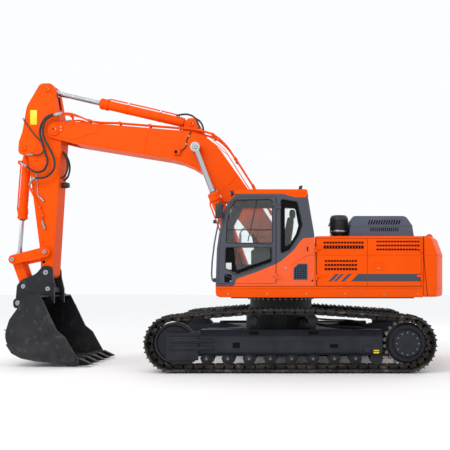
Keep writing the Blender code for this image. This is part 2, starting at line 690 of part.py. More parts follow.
def build_cab_inside(house, middle):
    """Seat on its pedestal and the control consoles."""
    floor = FLOOR_Z + CAB_WALL + 2 * FIT
    half = (HOUSE_HALF + CAB_INNER) / 2
    wide = 0.53 * half
    seat = box("pan", (-0.42, 0.10), (middle - wide, middle + wide), (1.98, 2.10), 0.03)
    back = prism("back", fillet([(0.02, 2.03, 0), (0.14, 2.03, 0.02), (0.30, 2.78, 0.05),
                                 (0.20, 2.80, 0.05)], 3), middle - wide + 0.01, middle + wide - 0.01)
    pedestal = box("pedestal", (-0.34, 0.10), (middle - wide + 0.07, middle + wide - 0.07), (floor, 1.99))
    finish(join(seat, back, pedestal), "cab_seat", paint("seat_fabric"), house)
    controls = []
    for sign in (-1, 1):
        low, high = sorted((middle + sign * 0.58 * half, middle + sign * 0.82 * half))
        controls.append(box("console", (-0.50, 0.10), (low, high), (floor, 2.20), 0.02))
        centre = (low + high) / 2
        controls.append(rod("stick", (-0.42, centre, 2.18), (-0.46, centre, 2.40), 0.02, 10))
    base = box("pedals", (-0.62, -0.45), (middle - 0.67 * half, middle + 0.67 * half), (floor, floor + 0.12))
    finish(join(base, *controls), "controls", paint("black_plastic"), house)


CAB_HINGE_X = CAB_DOOR_REAR + 0.01
CAB_HINGE_Y = -HOUSE_HALF - 0.022
STRIP = 0.03                 # width of the fixed strip beside a door's hinges
SIDE_DOORS = {               # side, front edge, rear edge, hinged edge
    "left_front_door": (-1, CAB_REAR + STRIP + 0.008, DOOR_SPLIT - 0.003, "front"),
    "left_rear_door": (-1, DOOR_SPLIT + 0.003, HOUSE_REAR - STRIP - MOVING_GAP, "rear"),
    "right_rear_door": (1, 1.03, HOUSE_REAR - STRIP - MOVING_GAP, "rear"),
}


def hinge_knuckles(axis, heights, seam, face, fixed_reach):
    """Two upright hinges: the fixed lower knuckles and the door's upper ones, with their leaves.

    The seam is the x of the door's hinged edge and the face the y of its outer side.
    """
    x, y = axis
    out = 1 if y > face else -1
    fixed, moving = [], []
    toward = 1 if x >= seam else -1
    for z in heights:
        for group, low, side in ((fixed, z - 0.05, toward), (moving, z + FIT, -toward)):
            group.append(rod("knuckle", (x, y, low), (x, y, low + 0.05), 0.016, 12))
            reach = fixed_reach if group is fixed else 0.08
            root = x if group is fixed else seam
            group.append(box("leaf", sorted((x, x + side * reach)),
                             sorted((face + out * 0.007, y + out * 0.004)), (low + 0.004, low + 0.046)))
            group.append(box("root", sorted((root + side * 0.018, x + side * (reach - 0.002))),
                             sorted((face - out * 0.01, y - out * 0.001)), (low + 0.008, low + 0.042)))
    return fixed, moving


def build_house(house, bodies):
    """Top deck, posts, tanks, tail weight, engine stand-in and the hinged panels."""
    top_low = HOUSE_TOP - 0.04
    top = box("top", (CAB_REAR + 0.03, HOUSE_REAR - FIT), (-HOUSE_HALF, HOUSE_HALF), (top_low, HOUSE_TOP))
    well = box("well", (HOOD_FRONT + 0.08, HOOD_REAR - 0.08), (-HOOD_HALF + 0.08, HOOD_HALF - 0.08), (2, 3))
    boom_gap = box("boom_gap", (0, 0.95), (-0.50, 0.50), (2, 3))
    top = cut(top, well, boom_gap)
    inner = HOUSE_HALF - 0.05 - 2 * FIT
    posts = []
    for x in (CAB_REAR + 0.03, DOOR_SPLIT - 0.03, HOUSE_REAR - 0.061):
        for sign in (-1, 1):
            if sign > 0 and x < 1.0:
                continue
            low, high = sorted((sign * (inner - 0.06), sign * inner))
            posts.append(box("post", (x, x + 0.06), (low, high), (1.42 + FIT, top_low + 0.01)))
    bulkhead = box("bulkhead", (CAB_REAR + 0.03, CAB_REAR + 0.07), (-inner, -0.50),
                   (1.42 + FIT, top_low + 0.01))
    for x, sign in ((CAB_REAR + 0.004, -1), (HOUSE_REAR - STRIP, -1), (HOUSE_REAR - STRIP, 1)):
        low, high = sorted((sign * HOUSE_HALF, sign * (HOUSE_HALF - 0.052)))
        posts.append(box("strip", (x, x + STRIP - FIT), (low, high), (FLOOR_Z + FIT, top_low + 0.01)))
    panel_doors = []
    for name, (sign, front, rear, hinged) in SIDE_DOORS.items():
        low, high = sorted((sign * HOUSE_HALF, sign * (HOUSE_HALF - PANEL)))
        panel = box("panel", (front, rear), (low, high), (FLOOR_Z + MOVING_GAP, top_low - MOVING_GAP))
        seam = front if hinged == "front" else rear
        fixed, moving = hinge_knuckles(side_hinge(name), (1.70, 2.20), seam, sign * HOUSE_HALF, STRIP)
        posts += fixed
        panel_doors.append((name, join(panel, *moving)))
    finish(join(top, bulkhead, *posts), "house_frame", paint("orange"), house)
    for name, panel in panel_doors:
        finish(panel, name, paint("orange"), bodies[name])
    build_tanks(house)
    build_counterweight(house)
    engine = box("engine", (1.45, 2.20), (-0.65, 0.65), (1.42 + FIT, 2.30), 0.03)
    finish(engine, "engine_block", paint("bare_iron"), house)
    build_hood(house, bodies["engine_hood"])


def side_hinge(name):
    """Where a side door's hinge axis lies, as (x, y)."""
    sign, front, rear, hinged = SIDE_DOORS[name]
    x = front - 0.002 if hinged == "front" else rear + 0.002
    return x, sign * (HOUSE_HALF + 0.022)


def build_tanks(house):
    """Right side: step box, fuel tank and hydraulic tank."""
    low, high = 0.62, HOUSE_HALF
    step = box("step", (HOUSE_FRONT, -0.42), (low, high), (FLOOR_Z + FIT, 1.98), 0.02)
    finish(step, "step_box", paint("orange"), house)
    fuel = box("fuel", (-0.41, 0.34), (low, high), (FLOOR_Z + FIT, HOUSE_TOP), 0.03)
    finish(fuel, "fuel_tank", paint("orange"), house)
    oil = box("oil", (0.35, 0.675), (low, high), (FLOOR_Z + FIT, HOUSE_TOP), 0.03)
    finish(oil, "hydraulic_tank", paint("orange"), house)


def build_counterweight(house):
    """The cast tail weight: its back is an arc about the slewing axis."""
    end = sqrt(TAIL_RADIUS ** 2 - HOUSE_HALF ** 2)
    first = atan2(-HOUSE_HALF, end)
    arc = [(TAIL_RADIUS * cos(first * (1 - k / 6)), TAIL_RADIUS * sin(first * (1 - k / 6)))
           for k in range(13)]
    shape = [(HOUSE_REAR, -HOUSE_HALF), *arc, (HOUSE_REAR, HOUSE_HALF)]
    weight = prism("weight", shape, WEIGHT_BOTTOM, HOUSE_TOP, "z")
    edge = weight.modifiers.new("edge", "BEVEL")
    edge.width = 0.045
    edge.segments = 2
    edge.limit_method = "ANGLE"
    edge.angle_limit = radians(50)
    bpy.context.view_layer.update()
    weight = baked(weight)
    mesh = bmesh.new()
    mesh.from_mesh(weight.data)
    bmesh.ops.bisect_plane(mesh, geom=mesh.verts[:] + mesh.edges[:] + mesh.faces[:],
                           plane_co=(0, 0, WEIGHT_KNEE), plane_no=(0, 0, 1))
    for vertex in mesh.verts:
        if vertex.co.z > WEIGHT_KNEE and vertex.co.x > HOUSE_REAR + 0.1:
            vertex.co.x -= WEIGHT_LEAN * (vertex.co.z - WEIGHT_KNEE) / (HOUSE_TOP - WEIGHT_KNEE)
    mesh.to_mesh(weight.data)
    mesh.free()
    finish(weight, "counterweight", paint("orange"), house)


def build_hood(house, hood_body):
    """The raised engine hood, its fixed front housing and the air pre-cleaner."""
    base = HOUSE_TOP + FIT
    shape = fillet([(HOOD_FRONT, base, 0), (HOOD_REAR, base, 0), (HOOD_REAR - 0.04, 2.68, 0.05),
                    (HOOD_REAR - 0.16, HOOD_TOP, 0.12), (HOOD_FRONT + 0.04, HOOD_TOP, 0.08)], 3)
    hood = prism("hood", shape, -HOOD_HALF, HOOD_HALF)
    room = fillet([(HOOD_FRONT + 0.03, base - 0.1, 0), (HOOD_REAR - 0.03, base - 0.1, 0),
                   (HOOD_REAR - 0.07, 2.67, 0.05), (HOOD_REAR - 0.18, HOOD_TOP - 0.03, 0.1),
                   (HOOD_FRONT + 0.07, HOOD_TOP - 0.03, 0.06)], 3)
    hood = cut(hood, prism("room", room, -HOOD_HALF + 0.03, HOOD_HALF - 0.03))
    finish(hood, "engine_hood", paint("dark_grey"), hood_body)
    front = prism("front", fillet([(0.97, base, 0), (HOOD_FRONT - 0.02, base, 0),
                                   (HOOD_FRONT - 0.02, 2.82, 0.05), (1.08, 2.80, 0.1)], 3),
                  -0.50, HOOD_HALF)
    finish(front, "hood_front", paint("dark_grey"), house)
    x, y = 1.13, -0.74
    bowl = turned("bowl", [(0.10, base), (0.10, base + 0.07), (0.135, base + 0.08), (0.168, base + 0.11),
                           (0.168, base + 0.14), (0.16, base + 0.15), (0.16, base + 0.38),
                           (0.12, base + 0.43)], (x, y, 0), "z", 24)
    finish(bowl, "precleaner", paint("black_plastic"), house)


def build_rails(house):
    """Grab rails and mirrors."""
    z_low, z_high = 1.625, 2.726
    y = -HOUSE_HALF + 0.02
    points = [(cab_front_x(z_low - 0.015) - FIT, z_low), (-1.165, z_low), (-1.195, 1.655), (-1.205, 1.763),
              (-1.194, 1.986), (-1.153, 2.323), (-1.121, 2.493), (-1.09, 2.64), (-1.075, z_high),
              (cab_front_x(z_high - 0.015) - FIT, z_high)]
    rail = tube("rail", [(x, y, z) for x, z in points], 0.015)
    finish(rail, "cab_rail", paint("dark_grey"), house)
    top = HOUSE_TOP
    y = HOUSE_HALF - 0.10
    points = [(-0.95, 1.98 + FIT), (-0.95, 2.70), (-0.90, 2.80), (-0.80, 2.85), (-0.10, 2.85),
              (0.02, 2.80), (0.06, 2.70), (0.06, top + FIT)]
    rail = tube("rail", [(x, y, z) for x, z in points], 0.017)
    mirror = box("mirror", (-0.975, -0.935), (y + 0.01, y + 0.2), (2.42, 2.70), 0.01)
    finish(join(rail, mirror), "step_rail", paint("dark_grey"), house)
    arm_z = 3.05
    start = cab_front_x(arm_z)
    reach = -HOUSE_HALF - 0.06
    arm = tube("arm", [(start - 0.0085, reach + 0.12, arm_z), (start - 0.10, reach + 0.08, arm_z),
                       (start - 0.14, reach, arm_z), (start - 0.14, reach, 2.97)], 0.011)
    glass = box("mirror", (start - 0.165, start - 0.12), (-HOUSE_HALF - 0.15, -HOUSE_HALF + 0.01),
                (2.74, 3.01), 0.012)
    finish(join(glass, arm), "mirror_l", paint("black_plastic"), house)


# ---------------------------------------------------------------- working equipment
BOOM_SHAPE = [(-4.63, 4.79, 0.12), (-4.17, 4.808, 0.4), (-1.434, 4.578, 0.95), (0.235, 2.22, 0.2),
              (0.15, 1.90, 0.14), (-0.06, 1.90, 0.14), (-0.62, 2.57, 0.6), (-1.629, 3.97, 1.4),
              (-4.12, 4.376, 0.2), (-4.63, 4.50, 0.12)]
FORK_BACK = -4.07


def build_boom(body):
    """The welded box boom with its nose fork, bosses and cylinder lugs."""
    boom = prism("boom", fillet(BOOM_SHAPE, 5), -BOOM_HALF, BOOM_HALF)
    room = prism("room", fillet(inset(BOOM_SHAPE, PLATE), 5), -BOOM_HALF + 0.015, BOOM_HALF - 0.015)
    fork = box("fork", (-5.0, FORK_BACK), (-ARM_HALF - 0.01, ARM_HALF + 0.01), (4.0, 5.2))
    boom = cut(boom, room, fork)
    tools = [pin_bar("foot", BOOM_FOOT, -BOOM_FOOT_HALF, BOOM_FOOT_HALF, 0.165, 16)]
    for sign in (-1, 1):
        low, high = sorted((sign * (BOOM_HALF - 0.01), sign * (BOOM_HALF + 0.035)))
        tools.append(pin_bar("nose", BOOM_NOSE, low, high, 0.12, 12))
        low, high = sorted((sign * (BOOM_HALF - 0.01), sign * (BOOM_CYL_Y - 0.055 - PIN_GAP)))
        tools.append(pin_bar("eye_boss", BOOM_CYL_EYE, low, high, 0.10, 12))
        x, z = ARM_CYL_BASE
        low, high = sorted((sign * 0.0705, sign * 0.105))
        lug = fillet([(x - 0.22, z - 0.24, 0), (x + 0.30, z - 0.27, 0), (x + 0.08, z + 0.11, 0.09),
                      (x - 0.09, z + 0.11, 0.09)], 3)
        tools.append(prism("lug", lug, low, high))
    finish(join(boom, *tools), "boom", paint("orange"), body)


ARM_SHAPE = [(-4.53, 5.58, 0.1), (-4.36, 4.60, 0.7), (-4.53, 1.9, 0.3), (-4.54, 1.69, 0.12),
             (-4.775, 1.69, 0.12), (-4.785, 2.2, 0.3), (-4.915, 3.20, 0.6), (-5.03, 4.12, 0.05),
             (-5.235, 4.18, 0.09), (-5.215, 4.42, 0.08), (-5.145, 4.62, 0.5), (-5.06, 5.12, 0.4),
             (-4.79, 5.58, 0.12)]
ARM_FORK_FRONT = -4.80
ARM_FORK_FLOOR = 5.08
EYE_HALF = 0.07
BUCKET_CYL_HALF = 0.088


def build_arm(body):
    """The box arm: rod fork at the top, cylinder cheeks in front, pin bosses along it."""
    arm = prism("arm", fillet(ARM_SHAPE, 3), -ARM_HALF, ARM_HALF)
    room = prism("room", fillet(inset(ARM_SHAPE, PLATE), 2), -ARM_HALF + 0.014, ARM_HALF - 0.014)
    gap = EYE_HALF + MOVING_GAP
    top_fork = box("top_fork", (ARM_FORK_FRONT, -4.2), (-gap, gap), (ARM_FORK_FLOOR, 5.8))
    side_fork = box("side_fork", (-5.4, -4.99), (-0.1, 0.1), (4.0, 4.47))
    arm = cut(arm, room, top_fork, side_fork)
    tools = [pin_bar("hub", BOOM_NOSE, -BOOM_NOSE_FACE, BOOM_NOSE_FACE, 0.16, 16),
             pin_bar("tip", BUCKET_PIN, -COUPLER_FACE, COUPLER_FACE, 0.11, 14),
             pin_bar("rocker", ROCKER_PIN, -ROCKER_FACE, ROCKER_FACE, 0.075, 12)]
    for sign in (-1, 1):
        low, high = sorted((sign * (EYE_HALF + PIN_GAP), sign * (ARM_HALF + 0.025)))
        tools.append(pin_bar("eye", ARM_CYL_EYE, low, high, 0.075, 12))
        low, high = sorted((sign * (BUCKET_CYL_HALF + PIN_GAP), sign * (ARM_HALF + 0.02)))
        tools.append(pin_bar("base", BUCKET_CYL_BASE, low, high, 0.07, 12))
    finish(join(arm, *tools, solver="MANIFOLD"), "arm", paint("orange"), body)


BOOM_NOSE_FACE = ARM_HALF + 0.01 - PIN_GAP
COUPLER_INNER = 0.205
COUPLER_OUTER = 0.245
COUPLER_FACE = COUPLER_INNER - PIN_GAP
ROCKER_INNER = 0.256
ROCKER_OUTER = 0.292
ROCKER_FACE = ROCKER_INNER - PIN_GAP


def strap(name, first, second, radius_a, radius_b, low, high):
    """A flat link with round ends about two pins."""
    a, b = Vector(first), Vector(second)
    way = (b - a)
    lean = (radius_a - radius_b) / way.length
    base = atan2(way.y, way.x)
    open_angle = acos(lean)
    points = []
    for centre, radius, start, stop in ((a, radius_a, base + open_angle, base + 2 * pi - open_angle),
                                        (b, radius_b, base - open_angle, base + open_angle)):
        for k in range(7):
            angle = start + (stop - start) * k / 6
            points.append((centre.x + radius * cos(angle), centre.y + radius * sin(angle)))
    return prism(name, points, low, high)


def build_linkage(bodies):
    """Rocker links outside the arm and the power link down to the coupler."""
    for side, sign in (("l", -1), ("r", 1)):
        low, high = sorted((sign * ROCKER_INNER, sign * ROCKER_OUTER))
        link = strap("link", ROCKER_PIN, LINK_PIN, 0.10, 0.09, low, high)
        heads = [pin_bar("head", pin, *sorted((sign * (ROCKER_OUTER - 0.01), sign * (ROCKER_OUTER + 0.025))),
                         0.05, 12) for pin in (ROCKER_PIN, LINK_PIN)]
        finish(join(link, *heads), "rocker_link_" + side, paint("orange"), bodies["rocker_links"])
    plates = []
    for sign in (-1, 1):
        low, high = sorted((sign * 0.085, sign * 0.15))
        plates.append(strap("plate", LINK_PIN, COUPLER_PIN, 0.09, 0.085, low, high))
        low, high = sorted((sign * 0.14, sign * (ROCKER_INNER - PIN_GAP)))
        plates.append(pin_bar("pin", LINK_PIN, low, high, 0.045, 14))
    a, b = Vector(LINK_PIN), Vector(COUPLER_PIN)
    web = strap("web", tuple(a.lerp(b, 0.62)), COUPLER_PIN, 0.05, 0.08, -0.10, 0.10)
    pin = pin_bar("pin", COUPLER_PIN, -COUPLER_FACE, COUPLER_FACE, 0.05, 14)
    finish(join(web, *plates, pin), "power_link", paint("orange"), bodies["power_link"])


def build_bucket(body):
    """Quick coupler, bucket shell with ears and teeth."""
    x, z = BUCKET_PIN
    x2, z2 = COUPLER_PIN
    x3, z3 = EAR_PIN_FRONT
    x4, z4 = EAR_PIN_REAR
    outline = fillet([(x - 0.05, z + 0.14, 0.1), (x + 0.13, z + 0.12, 0.11), (x + 0.14, z - 0.10, 0.2),
                      (x3 + 0.13, z3 + 0.02, 0.1), (x3 + 0.02, z3 - 0.115, 0.1), (x3 - 0.19, z3 - 0.085, 0.1),
                      (x4 + 0.08, z4 - 0.10, 0.08), (x4 - 0.10, z4 - 0.08, 0.08), (x4 - 0.06, z4 + 0.12, 0.1),
                      (x2 - 0.13, z2 + 0.02, 0.1), (x2 - 0.04, z2 + 0.13, 0.1), (x - 0.2, z - 0.03, 0.25)], 3)
    plates = []
    for sign in (-1, 1):
        low, high = sorted((sign * COUPLER_INNER, sign * COUPLER_OUTER))
        plates.append(prism("plate", outline, low, high))
        plates.append(pin_bar("head", BUCKET_PIN, *sorted((sign * (COUPLER_OUTER - 0.01),
                                                           sign * (COUPLER_OUTER + 0.004))), 0.06, 12))
    core = prism("core", fillet([(x3 + 0.06, z3 + 0.07, 0.05), (x3 + 0.06, z3 - 0.09, 0.05),
                                 (x3 - 0.19, z3 - 0.075, 0.05), (x4 + 0.08, z4 - 0.06, 0.05),
                                 (x4 - 0.04, z4 - 0.02, 0.05), (x4 + 0.02, z4 + 0.14, 0.05)], 3),
                 -COUPLER_INNER - 0.01, COUPLER_INNER + 0.01)
    coupler = join(core, *plates, solver="MANIFOLD")
    finish(coupler, "quick_coupler", paint("dark_grey"), body)

    shape = [(-4.80, 1.36, 0.04), (-4.55, 1.36, 0.03), (-4.47, 1.20, 0.1), (-4.23, 0.69, 0.2),
             (-4.07, 0.56, 0.1), (-3.85, 0.17, 0.0), (-3.87, 0.075, 0.0), (-4.62, 0.105, 0.3),
             (-5.02, 0.20, 0.35), (-5.235, 0.55, 0.35), (-5.13, 0.90, 0.3)]
    bucket = prism("bucket", fillet(shape, 4), -BUCKET_HALF, BUCKET_HALF)
    inner = inset(shape, BUCKET_WALL)
    mouth = [(-4.52, 1.50, 0), (-3.4, 1.2, 0), (-3.4, 0.10 + BUCKET_WALL, 0)]
    hollow = [inner[0], (-4.56, 1.33, 0.02), (-4.45, 1.33, 0.0), mouth[1], mouth[2],
              (-3.9, 0.075 + BUCKET_WALL, 0.0), inner[7], inner[8], inner[9], inner[10]]
    cavity = prism("cavity", fillet(hollow, 3), -BUCKET_HALF + BUCKET_WALL, BUCKET_HALF - BUCKET_WALL)
    bucket = cut(bucket, cavity)
    tools = []
    for i in range(TOOTH_COUNT):
        y = -BUCKET_HALF + 0.07 + (2 * BUCKET_HALF - 0.14) * i / (TOOTH_COUNT - 1)
        tooth = [(-4.0, 0.045), (-3.82, 0.03), (-3.585, 0.045), (-3.585, 0.06), (-3.8, 0.165), (-4.0, 0.15)]
        tools.append(prism("tooth", tooth, y - 0.05, y + 0.05))
    ear = fillet([(x3 + 0.12, z3 + 0.08, 0.1), (x3 - 0.06, z3 + 0.12, 0.1), (x3 - 0.25, z3 - 0.02, 0.1),
                  (x4 + 0.1, z4 + 0.12, 0.1), (x4 - 0.1, z4 + 0.08, 0.08), (x4 - 0.09, z4 - 0.1, 0.06),
                  (x4 + 0.12, 1.08, 0.0), (-4.85, 1.25, 0), (-4.60, 1.30, 0), (-4.48, 1.20, 0)], 3)
    for sign in (-1, 1):
        low, high = sorted((sign * (COUPLER_OUTER + FIT), sign * (COUPLER_OUTER + 0.044)))
        tools.append(prism("ear", ear, low, high))
    finish(join(bucket, *tools), "bucket", paint("dark_grey"), body)


def cylinder(name, base, eye, y, bodies, size):
    """A hydraulic cylinder: tube with its base eye, and chrome rod with its eye.

    size holds the tube's length, its radius, the rod's radius and length, and both eyes' half widths.
    """
    reach, radius, rod_radius, rod_length, base_half, eye_half = size
    a, b = Vector(at(base, y)), Vector(at(eye, y))
    way = (b - a).normalized()
    bore = rod_radius + PIN_GAP
    tube_piece = rod("tube", a + way * 0.17, a + way * reach, radius, 16)
    stem = rod("stem", a, a + way * 0.18, min(base_half * 0.95, radius * 0.9), 12)
    head = rod("head", a + way * (reach - 0.16), a + way * (reach - 0.02), radius * 1.13, 16)
    root_eye = pin_bar("root_eye", base, y - base_half, y + base_half, radius * 1.0, 14)
    tube_piece = join(tube_piece, head, stem, root_eye)
    hollow = rod("hollow", a + way * 0.2, a + way * (reach + 0.2), bore, 12)
    tube_piece = cut(tube_piece, hollow)
    finish(tube_piece, name + "_tube", paint(bodies[name + "_paint"]), bodies[name + "_tube"])
    bar = rod("bar", b - way * rod_length, b, rod_radius, 12)
    end = pin_bar("end", eye, y - eye_half, y + eye_half, radius * 0.95, 14)
    neck = rod("neck", b - way * 0.17, b, min(rod_radius * 1.35, eye_half * 0.98), 12)
    finish(join(bar, end, neck), name + "_rod", paint("chrome"), bodies[name + "_rod"])


def make_bodies(root):
    """The empties that carry the moving bodies, each on its joint's axis."""
    house = pivot("house", (0, 0, DECK_BOTTOM), root)
    bodies = {"house": house}
    bodies["cab_door"] = pivot("cab_door_hinge", (CAB_HINGE_X, CAB_HINGE_Y, FLOOR_Z), house)
    for name in SIDE_DOORS:
        bodies[name] = pivot(name + "_hinge", (*side_hinge(name), FLOOR_Z), house)
    bodies["engine_hood"] = pivot("engine_hood_hinge", (HOOD_REAR, 0, HOUSE_TOP + 0.01), house)
    boom = bodies["boom"] = pivot("boom_foot", at(BOOM_FOOT), house)
    arm = bodies["arm"] = pivot("arm_pivot", at(BOOM_NOSE), boom)
    bucket = bodies["bucket"] = pivot("bucket_pivot", at(BUCKET_PIN), arm)
    bodies["rocker_links"] = pivot("rocker_pivot", at(ROCKER_PIN), arm)
    bodies["power_link"] = pivot("power_link_pivot", at(COUPLER_PIN), bucket)
    for name, base, eye, y, parent in (
            ("boom_cylinder_l", BOOM_CYL_BASE, BOOM_CYL_EYE, -BOOM_CYL_Y, house),
            ("boom_cylinder_r", BOOM_CYL_BASE, BOOM_CYL_EYE, BOOM_CYL_Y, house),
            ("arm_cylinder", ARM_CYL_BASE, ARM_CYL_EYE, 0.0, boom),
            ("bucket_cylinder", BUCKET_CYL_BASE, LINK_PIN, 0.0, arm)):
        bodies[name + "_tube"] = pivot(name + "_base", at(base, y), parent)
        bodies[name + "_rod"] = pivot(name + "_eye", at(eye, y), bodies[name + "_tube"])
        bodies[name + "_paint"] = "orange"
    return bodies


def centre_on_base(root):
    """Move the root so that the machine's bounding box stands centred on the origin."""
    bpy.context.view_layer.update()
    spots = [thing.matrix_world @ Vector(corner)
             for thing in PARTS.objects if thing.type == "MESH" for corner in thing.bound_box]
    low = [min(spot[i] for spot in spots) for i in range(3)]
    high = [max(spot[i] for spot in spots) for i in range(3)]
    root.location = (-(low[0] + high[0]) / 2, -(low[1] + high[1]) / 2, -low[2])


def main():
    root = bpy.data.objects.new("excavator", None)
    PARTS.objects.link(root)
    for side, sign in (("l", -1), ("r", 1)):
        y = sign * GAUGE / 2
        build_track(side, y, root)
        build_track_frame(side, y, root)
        build_wheels(side, y, root)
    build_car_body(root)
    bodies = make_bodies(root)
    house = bodies["house"]
    build_deck(house)
    build_skirts(house)
    build_cab(house, bodies["cab_door"])
    build_house(house, bodies)
    build_rails(house)
    build_boom(bodies["boom"])
    build_arm(bodies["arm"])
    build_linkage(bodies)
    build_bucket(bodies["bucket"])
    big = (1.86, 0.10, 0.052, 1.75, 0.053, 0.055)
    for side, sign in (("l", -1), ("r", 1)):
        cylinder("boom_cylinder_" + side, BOOM_CYL_BASE, BOOM_CYL_EYE, sign * BOOM_CYL_Y, bodies, big)
    cylinder("arm_cylinder", ARM_CYL_BASE, ARM_CYL_EYE, 0.0, bodies,
             (1.90, 0.095, 0.05, 1.60, 0.07, EYE_HALF))
    cylinder("bucket_cylinder", BUCKET_CYL_BASE, LINK_PIN, 0.0, bodies,
             (1.34, 0.085, 0.042, 1.12, BUCKET_CYL_HALF, 0.07))
    centre_on_base(root)


for old in list(bpy.data.objects):
    bpy.data.objects.remove(old)
PARTS = bpy.data.collections.new("excavator")
bpy.context.scene.collection.children.link(PARTS)
main()
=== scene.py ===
# %% [markdown]
# # A crawler excavator, finished in Blender
# The imported CAD model is the frame: it holds every size, every pin and every moving body.
# This lesson adds what the eye wants to see on top of it: paint with dust and wear, the shoes
# and links of the tracks, louvres, hoses and pins. The frame is loaded first. No added piece
# may make the machine bigger.

# %% Load the frame
from math import atan2, cos, pi, radians, sin, sqrt

import bpy
from mathutils import Matrix, Vector


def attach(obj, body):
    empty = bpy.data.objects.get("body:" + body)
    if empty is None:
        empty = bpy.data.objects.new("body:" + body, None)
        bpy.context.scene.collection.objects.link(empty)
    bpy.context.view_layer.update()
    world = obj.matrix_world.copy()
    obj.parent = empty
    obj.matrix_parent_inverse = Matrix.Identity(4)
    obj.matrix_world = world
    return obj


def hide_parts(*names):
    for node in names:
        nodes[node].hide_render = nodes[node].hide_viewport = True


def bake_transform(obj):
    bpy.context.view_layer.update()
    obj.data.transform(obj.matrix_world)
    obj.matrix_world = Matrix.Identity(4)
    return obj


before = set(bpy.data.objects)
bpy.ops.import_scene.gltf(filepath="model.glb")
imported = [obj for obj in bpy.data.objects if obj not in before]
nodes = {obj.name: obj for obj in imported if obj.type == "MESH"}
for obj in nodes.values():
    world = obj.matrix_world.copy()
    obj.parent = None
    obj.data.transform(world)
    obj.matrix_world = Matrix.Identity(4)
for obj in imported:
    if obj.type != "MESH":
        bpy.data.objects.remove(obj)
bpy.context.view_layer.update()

# %% [markdown]
# All places below are measured from the axis that the house slews about, with x to the rear,
# y to the machine's right and z up from the ground. The frame's own origin is under the middle
# of its box, so a finished piece is moved by SLEW_X just before it is handed over.

# %% Measures shared by many pieces
SLEW_X = 1.095775        # the slewing axis in the frame
SIDE = 1.45              # half width of the house
GAUGE_HALF = 1.375       # from the middle of the machine to a track's centre line

# %% [markdown]
# The camera stands square to the machine's left side, low and far away, with a long lens.
# A small shift puts the machine where it belongs in the picture without tilting the view.

# %% Camera
bpy.ops.object.select_all(action="DESELECT")
bpy.ops.object.camera_add(location=(SLEW_X + 0.39, -13.0, 1.58), rotation=(radians(90), 0, 0))
camera = bpy.context.object
camera.name = "camera"
camera.data.lens = 51.4
camera.data.sensor_width = 36.0
camera.data.shift_x = -0.167
camera.data.shift_y = 0.131
bpy.context.scene.camera = camera
print("camera at", tuple(round(v, 2) for v in camera.location))

# %% [markdown]
# A studio for a machine is a white floor that runs into a white wall, a large soft light over
# the camera's shoulder, a weaker one from the front, and an even sky to fill the shadows.

# %% Floor, sky and lights
bpy.ops.mesh.primitive_plane_add(size=160, location=(0, 0, -0.002))
floor = bpy.context.object
floor.name = "studio_floor"
floor_paint = bpy.data.materials.new("studio_white")
floor_paint.use_nodes = True
floor_paint.node_tree.nodes["Principled BSDF"].inputs["Base Color"].default_value = (0.92, 0.92, 0.92, 1)
floor_paint.node_tree.nodes["Principled BSDF"].inputs["Roughness"].default_value = 0.9
floor.data.materials.append(floor_paint)

world = bpy.data.worlds.new("studio_sky")
world.use_nodes = True
world.node_tree.nodes["Background"].inputs["Color"].default_value = (0.97, 0.985, 1.0, 1)
world.node_tree.nodes["Background"].inputs["Strength"].default_value = 1.0
bpy.context.scene.world = world
bpy.context.scene.view_settings.view_transform = "Standard"


def soft_light(name, place, aim, size, power):
    """A square lamp at a place, turned to face a point."""
    bpy.ops.object.light_add(type="AREA", location=place)
    lamp = bpy.context.object
    lamp.name = name
    lamp.rotation_euler = (Vector(aim) - Vector(place)).to_track_quat("-Z", "Y").to_euler()
    lamp.data.size = size
    lamp.data.energy = power
    print(name, power, "W")


soft_light("key_light", (-4.5, -11, 10.5), (0.5, 0, 2.2), 6.0, 560)
soft_light("front_light", (-13, -4, 6), (0, 0, 2), 5.0, 150)
soft_light("rear_light", (12, 7, 8), (0, 0, 2), 6.0, 150)

# %% [markdown]
# ## Finishes
# Machine paint is never one flat colour. Under it lies a little orange peel, over it a film of
# dust that gathers low down, and here and there a rub. One helper builds such a coat from
# noise read in object coordinates: a broad noise moves the colour, a fine one the gloss and the
# bump, and the height sets how much dust lies on the piece.

# %% A helper for coats of paint and metal
def new_material(name):
    """An empty material with its shader, its node maker and its linker."""
    material = bpy.data.materials.new(name)
    material.use_nodes = True
    tree = material.node_tree
    return material, tree.nodes["Principled BSDF"], tree.nodes.new, tree.links.new


def noise_of(make, link, coords, scale, detail=4.0, stretch=None):
    """A noise texture on object coordinates, stretched if three factors are given."""
    texture = make("ShaderNodeTexNoise")
    texture.inputs["Scale"].default_value = scale
    texture.inputs["Detail"].default_value = detail
    if stretch:
        mapping = make("ShaderNodeMapping")
        mapping.inputs["Scale"].default_value = stretch
        link(coords.outputs["Object"], mapping.inputs["Vector"])
        link(mapping.outputs["Vector"], texture.inputs["Vector"])
    else:
        link(coords.outputs["Object"], texture.inputs["Vector"])
    return texture


def ramp_of(make, link, source, low, high, first=(0, 0, 0, 1), last=(1, 1, 1, 1)):
    """A colour ramp between two places of a source value."""
    ramp = make("ShaderNodeValToRGB")
    ramp.color_ramp.elements[0].position = low
    ramp.color_ramp.elements[1].position = high
    ramp.color_ramp.elements[0].color = first
    ramp.color_ramp.elements[1].color = last
    link(source, ramp.inputs["Fac"])
    return ramp


def mixed(make, link, factor, first, last):
    """A colour mix of two sockets or colours by a factor socket."""
    mix = make("ShaderNodeMix")
    mix.data_type = "RGBA"
    link(factor, mix.inputs["Factor"])
    for socket, value in ((mix.inputs[6], first), (mix.inputs[7], last)):
        if isinstance(value, tuple):
            socket.default_value = value
        else:
            link(value, socket)
    return mix.outputs[2]


DUST = (0.33, 0.27, 0.2, 1)


